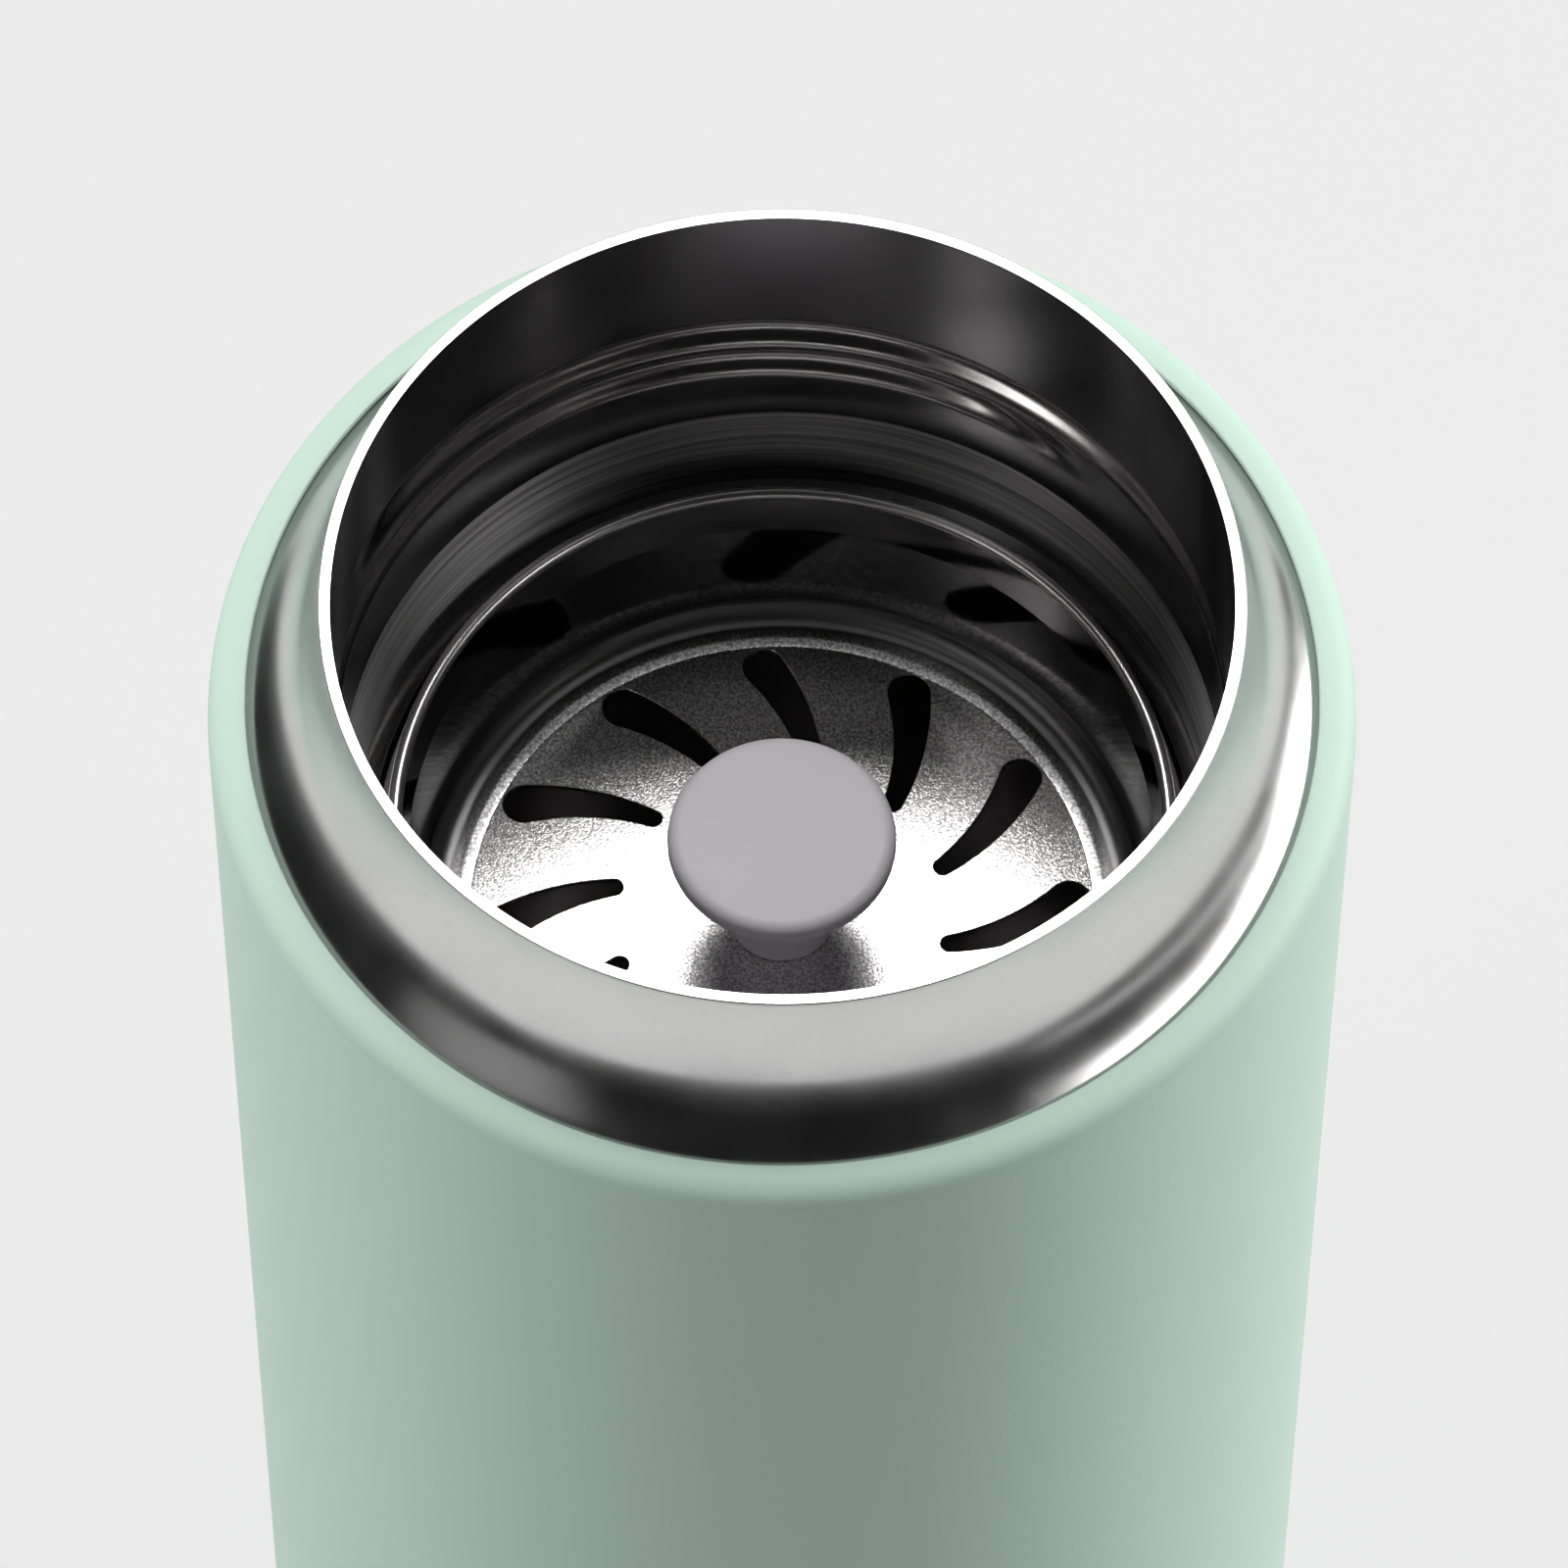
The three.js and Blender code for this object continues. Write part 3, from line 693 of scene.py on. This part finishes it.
class MUG_OT_painted_shell(bpy.types.Operator):
    """Model the painted outer shell, from its shoulder to its foot"""

    bl_idname = "mug.painted_shell"
    bl_label = "Painted shell"

    def execute(self, context):
        body, _, _ = sizes(context)
        wire = Wire(at(SHELL.outer - body.shoulder_width, SHELL.high))
        wire.line(at(SHELL.outer, SHELL.high), body.shoulder_round)
        wire.line(at(SHELL.outer, SHELL.low), body.foot_round)
        wire.line(at(SHELL.inner, SHELL.low))
        mesh = soften(thicken(wire.spin(), body.shell_wall), body.paint_edge)
        paint = powder_coat(context.scene.mug_finishes)
        finish_piece("painted_shell", mesh, [paint], "mug", "powder_coat", "outer_shell")
        return {"FINISHED"}


class MUG_OT_bare_collar(bpy.types.Operator):
    """Model the bare flared collar between the lip and the painted shoulder"""

    bl_idname = "mug.bare_collar"
    bl_label = "Bare collar"

    def execute(self, context):
        body, _, _ = sizes(context)
        top = at(COLLAR.inner + body.collar_wall, LINER.high - body.lip_depth)
        low = at(SHELL.outer - body.shoulder_width, COLLAR.low + body.collar_wall)
        drop = low - top
        tilt, bend, slope = body.collar_tilt, body.collar_bend, body.collar_slope
        reach = Matrix(((math.cos(tilt) - math.cos(bend), math.cos(bend) - math.cos(slope)),
                        (math.sin(bend) - math.sin(tilt), math.sin(slope) - math.sin(bend))))
        upper, lower = reach.inverted() @ Vector((drop.x, -drop.z))
        wire = Wire(top)
        wire.arc(wire.tip.co + at(math.cos(tilt), math.sin(tilt)) * upper, tilt - bend)
        wire.arc(wire.tip.co + at(math.cos(bend), math.sin(bend)) * lower, bend - slope)
        wire.line(at(COLLAR.outer, low.z))
        mesh = thicken(wire.spin(), body.collar_wall)
        steel = polished_steel(context.scene.mug_finishes)
        finish_piece("bare_collar", mesh, [steel], "mug", "polished_steel", "neck_collar")
        return {"FINISHED"}


class MUG_OT_threaded_liner(bpy.types.Operator):
    """Model the inner wall with its lip, rolled thread, turned band, throat and ledge"""

    bl_idname = "mug.threaded_liner"
    bl_label = "Threaded liner"

    def execute(self, context):
        body, thread, _ = sizes(context)
        lip_outer = COLLAR.inner + body.collar_wall
        mouth = COLLAR.inner - body.weld_gap - body.liner_wall
        bore = LINER.outer - body.liner_wall
        band_top = at(mouth + body.band_relief, LINER.high - body.band_depth)
        band_low = at(band_top.x - body.band_taper, band_top.z - body.band_height)
        throat = at(band_low.x - body.throat_step, band_low.z - body.throat_drop)
        ledge = at(LINER.inner, throat.z - body.throat_height)
        neck_low = ledge.z - body.ledge_drop
        neck_middle = neck_low - body.neck_height / 2
        neck_ease = body.neck_height / 4

        wire = Wire(at(bore, LINER.low))
        wire.line(at(bore, neck_middle - neck_ease), body.neck_height / 2)
        wire.line(at(ledge.x, neck_middle + neck_ease), body.neck_height / 2)
        wire.line(ledge, body.ledge_round)
        wire.line(at(throat.x, ledge.z), body.ledge_round)
        wire.line(throat, body.throat_round)
        wire.line(band_low, body.band_edge)
        wire.line(band_top)
        wire.line(at(mouth, band_top.z + body.band_relief))
        wire.line(at(mouth, self.thread_low(thread)))
        wire.line(at(mouth, self.thread_high(thread)))
        wire.line(at(mouth, LINER.high))
        wire.line(at(lip_outer, LINER.high), body.lip_edge)
        wire.line(at(lip_outer, LINER.high - body.lip_depth))
        self.add_thread_rows(wire, thread)
        mesh = wire.spin()
        self.face_inwards(mesh)
        self.roll_thread(mesh, thread)
        thicken(mesh, body.liner_wall)
        for face in mesh.faces:
            middle = face.calc_center_median().z
            on_band = band_low.z < middle < band_top.z
            on_lip = middle > LINER.high - body.lip_depth
            face.material_index = BAND if on_band else LIP if on_lip else SATIN
        finishes = context.scene.mug_finishes
        steels = [satin_steel(finishes), turned_band_steel(finishes), lip_steel(finishes)]
        finish_piece("threaded_liner", mesh, steels, "mug", "liner_steel", "inner_liner")
        return {"FINISHED"}

    def thread_high(self, thread):
        return LINER.high - thread.depth_below_lip + thread.run_in + thread.width / 2

    def thread_low(self, thread):
        drop = thread.lead * thread.sweep / (2 * math.pi)
        return LINER.high - thread.depth_below_lip - drop - thread.width / 2

    def add_thread_rows(self, wire, thread):
        """Cuts the mouth's straight wall into rows that are fine enough to roll the thread into."""
        wire.round_corners()
        low, high = self.thread_low(thread), self.thread_high(thread)
        inside = [edge for edge in wire.mesh.edges
                  if all(low - THREAD_ROW < vert.co.z < high + THREAD_ROW for vert in edge.verts)]
        bmesh.ops.subdivide_edges(wire.mesh, edges=inside, cuts=math.ceil((high - low) / THREAD_ROW))

    def face_inwards(self, mesh):
        """Turns the wall so that it faces the mug's axis and gets its thickness on the other side."""
        mesh.normal_update()
        foot = min(mesh.faces, key=lambda face: face.calc_center_median().z)
        if foot.normal.dot(foot.calc_center_median()) > 0:
            bmesh.ops.reverse_faces(mesh, faces=mesh.faces[:])

    def roll_thread(self, mesh, thread):
        for vert in mesh.verts:
            push = thread_push(vert.co, thread)
            if push:
                vert.co.xy *= 1 + push / vert.co.xy.length


class MUG_OT_liner_floor(bpy.types.Operator):
    """Model the dished floor that is welded to the liner"""

    bl_idname = "mug.liner_floor"
    bl_label = "Liner floor"

    def execute(self, context):
        body, _, _ = sizes(context)
        wire = Wire(at(BASIN.outer, BASIN.high))
        wire.line(at(BASIN.outer, BASIN.low), body.basin_round)
        wire.line(at(0, BASIN.low))
        mesh = thicken(wire.spin(), body.liner_wall)
        steel = satin_steel(context.scene.mug_finishes)
        finish_piece("liner_floor", mesh, [steel], "mug", "liner_steel", "liner_base")
        return {"FINISHED"}


class MUG_OT_slotted_basket(bpy.types.Operator):
    """Model the strainer's drawn basket with its rolled rim, ring bead and swirled slots"""

    bl_idname = "mug.slotted_basket"
    bl_label = "Slotted basket"

    def execute(self, context):
        _, _, strainer = sizes(context)
        floor_under = BASKET.low
        floor_top = BASKET.low + strainer.wall
        mesh = bmesh.new()
        holes = {}
        for height in (floor_top, floor_under):
            holes[height] = [self.rivet_hole(mesh, height)]
            for index in range(strainer.slots):
                holes[height].append(self.slot_loop(mesh, strainer, index, height))
        move_into(mesh, self.turned_wall(strainer))
        open_edges = [edge for edge in mesh.edges if edge.is_boundary]
        for height, loops in holes.items():
            edges = [edge for edge in open_edges if abs(edge.verts[0].co.z - height) < strainer.wall / 2]
            for loop in loops:
                edges += loop
            bmesh.ops.triangle_fill(mesh, edges=edges, use_beauty=True, use_dissolve=False)
        for upper, lower in zip(holes[floor_top], holes[floor_under]):
            bmesh.ops.bridge_loops(mesh, edges=upper + lower)
        bmesh.ops.recalc_face_normals(mesh, faces=mesh.faces[:])
        self.ease_slots(mesh, strainer, floor_top)
        steel = strainer_steel(context.scene.mug_finishes, strainer)
        made = finish_piece("slotted_basket", mesh, [steel], "strainer", "strainer_steel", "strainer_basket",
                            even_shading=False)
        for face in made.data.polygons:
            face.use_smooth = abs(face.normal.z) < LEVEL_FACE
        return {"FINISHED"}

    def plate_radius(self, strainer):
        """Radius of the flat floor inside the ring bead's foot, clear of the slots' rolled edges."""
        return bead_foot(strainer) - strainer.slot_margin / 3

    def turned_wall(self, strainer):
        """The wall, rolled rim and ring bead, open where the flat floor goes."""
        wall = strainer.wall
        low_radius = basket_radius(strainer)
        rim_radius = low_radius + strainer.rim_step
        shoulder = SEAL.high + strainer.seat_gap
        floor_radius = low_radius - strainer.draft
        bead = bead_radius(strainer)
        half = strainer.bead_width / 2
        under = BASKET.low
        top = under + wall
        centre = at(rim_radius - wall / 2, BASKET.high - strainer.rim_bead)
        foot = math.acos(wall / 2 / strainer.rim_bead)
        rim_base = centre.z - strainer.rim_bead * math.sin(foot)
        lean = Vector((shoulder - under, floor_radius - low_radius)).normalized()
        inner_shift = wall / lean.x

        flat = self.plate_radius(strainer)
        wire = Wire(at(flat, top))
        wire.line(at(bead - half, top), strainer.bead_width / 4)
        wire.line(at(bead, top + strainer.bead_height), strainer.bead_width / 2)
        wire.line(at(bead + half, top), strainer.bead_width / 4)
        wire.line(at(floor_radius - inner_shift, top), strainer.floor_round - wall)
        wire.line(at(low_radius - inner_shift, shoulder - wall / 2), wall)
        wire.line(at(rim_radius - wall, rim_base))
        wire.arc(centre, math.pi + 2 * foot)
        wire.line(at(rim_radius, shoulder), wall / 3)
        wire.line(at(low_radius, shoulder), wall / 3)
        wire.line(at(floor_radius, under), strainer.floor_round)
        wire.line(at(bead + half, under), strainer.bead_width / 4)
        wire.line(at(bead, under + strainer.bead_height), strainer.bead_width / 2)
        wire.line(at(bead - half, under), strainer.bead_width / 4)
        wire.line(at(flat, under))
        return wire.spin()

    def rivet_hole(self, mesh, height):
        made = bmesh.ops.create_circle(mesh, segments=SMALL_TURN_STEPS // 2, radius=BASKET.inner,
                                       cap_ends=False, matrix=Matrix.Translation((0, 0, height)))
        return list({edge for vert in made["verts"] for edge in vert.link_edges})

    def slot_loop(self, mesh, strainer, index, height):
        """The outline of one slot: a bowed drop with a wide round head and a narrow round tail."""
        head_radius = bead_foot(strainer) - strainer.slot_margin - strainer.slot_head
        head = at(head_radius, height)
        tail = Matrix.Rotation(-strainer.slot_sweep, 3, UP) @ at(head_radius - strainer.slot_reach, height)
        chord = tail - head
        bow = chord.cross(UP).normalized() * (-2 * strainer.slot_bow)
        pull = (head + tail) / 2 + bow

        def spine(along):
            return head * (1 - along) ** 2 + pull * (2 * along * (1 - along)) + tail * along ** 2

        def side(along, sign):
            heading = (pull - head) * (1 - along) + (tail - pull) * along
            half = strainer.slot_head + (strainer.slot_tail - strainer.slot_head) * along
            return spine(along) + UP.cross(heading).normalized() * (sign * half)

        steps = [step / SLOT_SIDE_STEPS for step in range(1, SLOT_SIDE_STEPS + 1)]
        wire = Wire(side(0, 1), UP)
        wire.arc(head, math.pi, SLOT_CAP_STEPS)
        for along in steps:
            wire.line(side(along, -1))
        wire.arc(tail, math.pi, SLOT_CAP_STEPS)
        for along in steps[-2::-1]:
            wire.line(side(along, 1))
        wire.close()
        azimuth = strainer.slot_azimuth + index * 2 * math.pi / strainer.slots
        swung = Matrix.Rotation(azimuth, 3, UP)
        bmesh.ops.rotate(wire.mesh, cent=CENTRE, matrix=swung, verts=wire.mesh.verts[:])
        return move_into(mesh, wire.mesh)

    def ease_slots(self, mesh, strainer, floor_top):
        """Rolls the punched edge of each slot over a little."""
        flat = strainer.wall / 10
        edges = [edge for edge in mesh.edges
                 if edge.calc_face_angle(0) > SHARP_ANGLE
                 and all(abs(vert.co.z - floor_top) < flat for vert in edge.verts)
                 and edge.verts[0].co.xy.length > BASKET.inner * 2]
        bmesh.ops.bevel(mesh, geom=edges, offset=strainer.slot_edge, offset_type="OFFSET", affect="EDGES",
                        segments=EDGE_STEPS, profile=0.5, material=-1, clamp_overlap=False)


class MUG_OT_soft_pieces(bpy.types.Operator):
    """Model the soft knob, the strainer's seal ring and the pad under the base"""

    bl_idname = "mug.soft_pieces"
    bl_label = "Soft pieces"

    def execute(self, context):
        body, _, strainer = sizes(context)
        silicone = grey_silicone(context.scene.mug_finishes)
        self.knob(strainer, silicone)
        self.seal(strainer, silicone)
        self.pad(body, silicone)
        return {"FINISHED"}

    def knob(self, strainer, silicone):
        gap = strainer.rivet_clearance
        head_top = RIVET.high + gap
        head_low = RIVET.high - strainer.rivet_head - gap
        cap_low = KNOB.high - strainer.knob_cap
        wire = Wire(at(0, head_top))
        wire.line(at(RIVET.outer + gap, head_top))
        wire.line(at(RIVET.outer + gap, head_low))
        wire.line(at(strainer.rivet_radius + gap, head_low))
        wire.line(at(strainer.rivet_radius + gap, KNOB.low))
        wire.line(at(strainer.stem_radius, KNOB.low), strainer.stem_edge)
        wire.line(at(strainer.stem_radius, cap_low), strainer.stem_fillet)
        wire.line(at(KNOB.outer, cap_low), strainer.knob_edge)
        wire.line(at(KNOB.outer, KNOB.high), strainer.knob_round)
        wire.line(at(0, KNOB.high))
        mesh = wire.spin(SMALL_TURN_STEPS)
        finish_piece("soft_knob", mesh, [silicone], "strainer", "grey_silicone", "knob")

    def seal(self, strainer, silicone):
        wire = Wire(at(SEAL.inner, SEAL.low))
        wire.line(at(SEAL.outer, SEAL.low), strainer.seal_round)
        wire.line(at(SEAL.outer, SEAL.high), strainer.seal_round)
        wire.line(at(SEAL.inner, SEAL.high))
        wire.close()
        finish_piece("seal_ring", wire.spin(), [silicone], "seal_ring", "grey_silicone", "strainer_seal")

    def pad(self, body, silicone):
        wire = Wire(at(0, PAD.low))
        wire.line(at(PAD.outer, PAD.low), body.pad_round)
        wire.line(at(PAD.outer, PAD.high), body.pad_edge)
        wire.line(at(0, PAD.high))
        finish_piece("foot_pad", wire.spin(), [silicone], "mug", "grey_silicone", "base_pad")


class MUG_OT_steel_fittings(bpy.types.Operator):
    """Model the rivet, its washer and the cover under the base"""

    bl_idname = "mug.steel_fittings"
    bl_label = "Steel fittings"

    def execute(self, context):
        body, _, strainer = sizes(context)
        steel = plain_steel(context.scene.mug_finishes)
        self.rivet(strainer, steel)
        self.washer(strainer, steel)
        self.cover(body, steel)
        return {"FINISHED"}

    def rivet(self, strainer, steel):
        head_low = RIVET.high - strainer.rivet_head
        peen_top = RIVET.low + strainer.peen_height
        wire = Wire(at(0, RIVET.low))
        wire.line(at(strainer.peen_radius, RIVET.low), strainer.peen_round)
        wire.line(at(strainer.peen_radius, peen_top))
        wire.line(at(strainer.rivet_radius, peen_top))
        wire.line(at(strainer.rivet_radius, head_low))
        wire.line(at(RIVET.outer, head_low), strainer.rivet_edge)
        wire.line(at(RIVET.outer, RIVET.high), strainer.rivet_round)
        wire.line(at(0, RIVET.high))
        mesh = wire.spin(SMALL_TURN_STEPS)
        finish_piece("rivet", mesh, [steel], "strainer", "plain_steel", "knob_rivet")

    def washer(self, strainer, steel):
        wire = Wire(at(WASHER.inner, WASHER.low))
        wire.line(at(WASHER.outer, WASHER.low), strainer.washer_edge)
        wire.line(at(WASHER.outer, WASHER.high), strainer.washer_edge)
        wire.line(at(WASHER.inner, WASHER.high))
        wire.close()
        mesh = wire.spin(SMALL_TURN_STEPS)
        finish_piece("washer", mesh, [steel], "strainer", "plain_steel", "rivet_washer")

    def cover(self, body, steel):
        wire = Wire(at(COVER.outer, COVER.high))
        wire.line(at(COVER.outer, COVER.low), body.cover_round)
        wire.line(at(0, COVER.low))
        mesh = thicken(wire.spin(), body.cover_wall)
        finish_piece("cover_plate", mesh, [steel], "mug", "plain_steel", "base_cover")


class MUG_OT_vacuum_parts(bpy.types.Operator):
    """Finish the pieces in the vacuum space, whose CAD shapes stay"""

    bl_idname = "mug.vacuum_parts"
    bl_label = "Vacuum parts"

    def execute(self, context):
        finishes = context.scene.mug_finishes
        steel = plain_steel(finishes)
        dressed = {
            "heat_shield_foil": copper_foil(finishes),
            "shell_bottom": steel,
            "getter_holder": steel,
            "vacuum_seal": sealing_glass(),
            "getter": getter_powder(),
        }
        for node, material in dressed.items():
            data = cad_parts[node].data
            data.materials.clear()
            data.materials.append(material)
        return {"FINISHED"}


class MUG_OT_studio(bpy.types.Operator):
    """Set up the pale floor, the soft lamps and the camera"""

    bl_idname = "mug.studio"
    bl_label = "Studio"

    def execute(self, context):
        studio = context.scene.mug_studio
        self.floor(context, studio)
        self.room(context, studio)
        for softbox in SOFTBOXES:
            self.hang(context, softbox)
        self.flags(context)
        self.camera(context, studio)
        context.scene.view_settings.view_transform = "Standard"
        return {"FINISHED"}

    def floor(self, context, studio):
        mesh = bmesh.new()
        bmesh.ops.create_grid(mesh, x_segments=1, y_segments=1, size=FLOOR_REACH,
                              matrix=Matrix.Translation((0, 0, -FLOOR_DROP)))
        data = bpy.data.meshes.new("floor")
        mesh.to_mesh(data)
        mesh.free()
        data.materials.append(self.floor_paper(studio))
        floor = bpy.data.objects.new("floor", data)
        context.scene.collection.objects.link(floor)

    def floor_paper(self, studio):
        """Matte paper that the camera and the steel see as pale, while it keeps some of the mug's shadow."""
        pale = tuple(studio.floor_colour)
        paper = Finish("pale floor", scaled(pale, studio.floor_bounce), roughness=0.9)
        paper.set("Specular IOR Level", 0.0)
        ray = paper.add("ShaderNodeLightPath")
        seen = paper.math("MAXIMUM", ray.outputs["Is Camera Ray"], ray.outputs["Is Glossy Ray"])
        seen = paper.math("MAXIMUM", seen, ray.outputs["Is Transmission Ray"])
        glow = paper.add("ShaderNodeEmission", Color=(*pale, 1), Strength=1.0)
        mixed = paper.add("ShaderNodeMixShader", Fac=paper.math("MULTIPLY", seen, studio.floor_evenness))
        paper.feed(mixed.inputs[1], paper.shader.outputs[0])
        paper.feed(mixed.inputs[2], glow.outputs[0])
        paper.feed(paper.tree.nodes["Material Output"].inputs["Surface"], mixed.outputs[0])
        return paper.material

    def room(self, context, studio):
        world = bpy.data.worlds.new("dark room")
        world.use_nodes = True
        background = world.node_tree.nodes["Background"]
        background.inputs["Color"].default_value = (1, 1, 1, 1)
        background.inputs["Strength"].default_value = studio.world_level
        context.scene.world = world

    def hang(self, context, softbox):
        """Hangs a lamp that faces the mouth, as bright as a white face of its level."""
        lamp = bpy.data.lights.new(softbox.name, "AREA")
        lamp.shape = "RECTANGLE"
        lamp.size = softbox.width
        lamp.size_y = softbox.height
        lamp.energy = softbox.level * math.pi * softbox.width * softbox.height
        azimuth, elevation = math.radians(softbox.azimuth), math.radians(softbox.elevation)
        out = Vector((math.cos(azimuth) * math.cos(elevation), math.sin(azimuth) * math.cos(elevation),
                      math.sin(elevation)))
        held = bpy.data.objects.new(softbox.name, lamp)
        held.location = Vector((0, 0, LINER.high)) + out * LAMP_DISTANCE
        facing = (-out).to_track_quat("-Z", "Y").to_matrix()
        held.rotation_euler = (facing @ Matrix.Rotation(math.radians(softbox.roll), 3, "Z")).to_euler()
        held.visible_camera = False
        held.visible_glossy = softbox.in_steel
        context.scene.collection.objects.link(held)

    def flags(self, context):
        """Low dark cards round three sides, which the steel and the paint see and the camera does not."""
        mesh = bmesh.new()
        upright = Matrix.Rotation(math.pi / 2, 3, "X")
        for flag in FLAGS:
            round_mug = Matrix.Rotation(math.radians(flag.side), 3, UP)
            card = bmesh.ops.create_grid(mesh, x_segments=1, y_segments=1, size=0.5)["verts"]
            bmesh.ops.scale(mesh, vec=(FLAG_WIDTH, flag.tall, 1), verts=card)
            bmesh.ops.rotate(mesh, cent=CENTRE, matrix=upright, verts=card)
            bmesh.ops.translate(mesh, vec=(0, -FLAG_DISTANCE, flag.tall / 2 + FLAG_LIFT), verts=card)
            bmesh.ops.rotate(mesh, cent=CENTRE, matrix=round_mug, verts=card)
        data = bpy.data.meshes.new("dark flags")
        mesh.to_mesh(data)
        mesh.free()
        felt = Finish("graded felt", FELT_TOP, roughness=1.0)
        fade = felt.between(felt.height(), 0.0, FLAG_FADE)
        felt.join("Base Color", felt.tint(fade, FELT_FOOT, FELT_TOP))
        data.materials.append(felt.material)
        flags = bpy.data.objects.new("dark_flags", data)
        flags.visible_camera = False
        flags.visible_shadow = False
        context.scene.collection.objects.link(flags)

    def camera(self, context, studio):
        lens = bpy.data.cameras.new("camera")
        lens.sensor_fit = "HORIZONTAL"
        lens.sensor_width = SENSOR_WIDTH
        lens.lens = studio.camera_lens / MM
        lens.shift_x = studio.camera_shift / PHOTO_WIDTH
        lens.clip_start = CLIP_START
        held = bpy.data.objects.new("camera", lens)
        elevation = studio.camera_elevation
        back = Vector((0, -math.cos(elevation), math.sin(elevation)))
        held.location = Vector((0, 0, LINER.high - studio.aim_depth)) + back * studio.camera_distance
        aim = (-back).to_track_quat("-Z", "Y").to_matrix()
        held.rotation_euler = (aim @ Matrix.Rotation(studio.camera_roll, 3, "Z")).to_euler()
        context.scene.collection.objects.link(held)
        context.scene.camera = held


PIECES = (
    MUG_OT_painted_shell,
    MUG_OT_bare_collar,
    MUG_OT_threaded_liner,
    MUG_OT_liner_floor,
    MUG_OT_slotted_basket,
    MUG_OT_soft_pieces,
    MUG_OT_steel_fittings,
    MUG_OT_vacuum_parts,
    MUG_OT_studio,
)


class MUG_PT_panel(bpy.types.Panel):
    """Lists the pieces of the mug"""

    bl_idname = "MUG_PT_panel"
    bl_label = "Travel mug"
    bl_space_type = "VIEW_3D"
    bl_region_type = "UI"
    bl_category = "Mug"

    def draw(self, context):
        for piece in PIECES:
            self.layout.operator(piece.bl_idname)


GROUPS = {
    "mug_body": MugBodySizes,
    "mug_thread": MugThreadSizes,
    "mug_strainer": MugStrainerSizes,
    "mug_finishes": MugFinishes,
    "mug_studio": MugStudio,
}


def register():
    for cls in (*GROUPS.values(), *PIECES, MUG_PT_panel):
        bpy.utils.register_class(cls)
    for name, group in GROUPS.items():
        setattr(bpy.types.Scene, name, PointerProperty(type=group))


def unregister():
    for name in GROUPS:
        delattr(bpy.types.Scene, name)
    for cls in (MUG_PT_panel, *reversed(PIECES), *reversed(GROUPS.values())):
        bpy.utils.unregister_class(cls)


def main():
    register()
    bpy.ops.mug.painted_shell()
    bpy.ops.mug.bare_collar()
    bpy.ops.mug.threaded_liner()
    bpy.ops.mug.liner_floor()
    bpy.ops.mug.slotted_basket()
    bpy.ops.mug.soft_pieces()
    bpy.ops.mug.steel_fittings()
    bpy.ops.mug.vacuum_parts()
    bpy.ops.mug.studio()


if __name__ == "__main__":
    main()
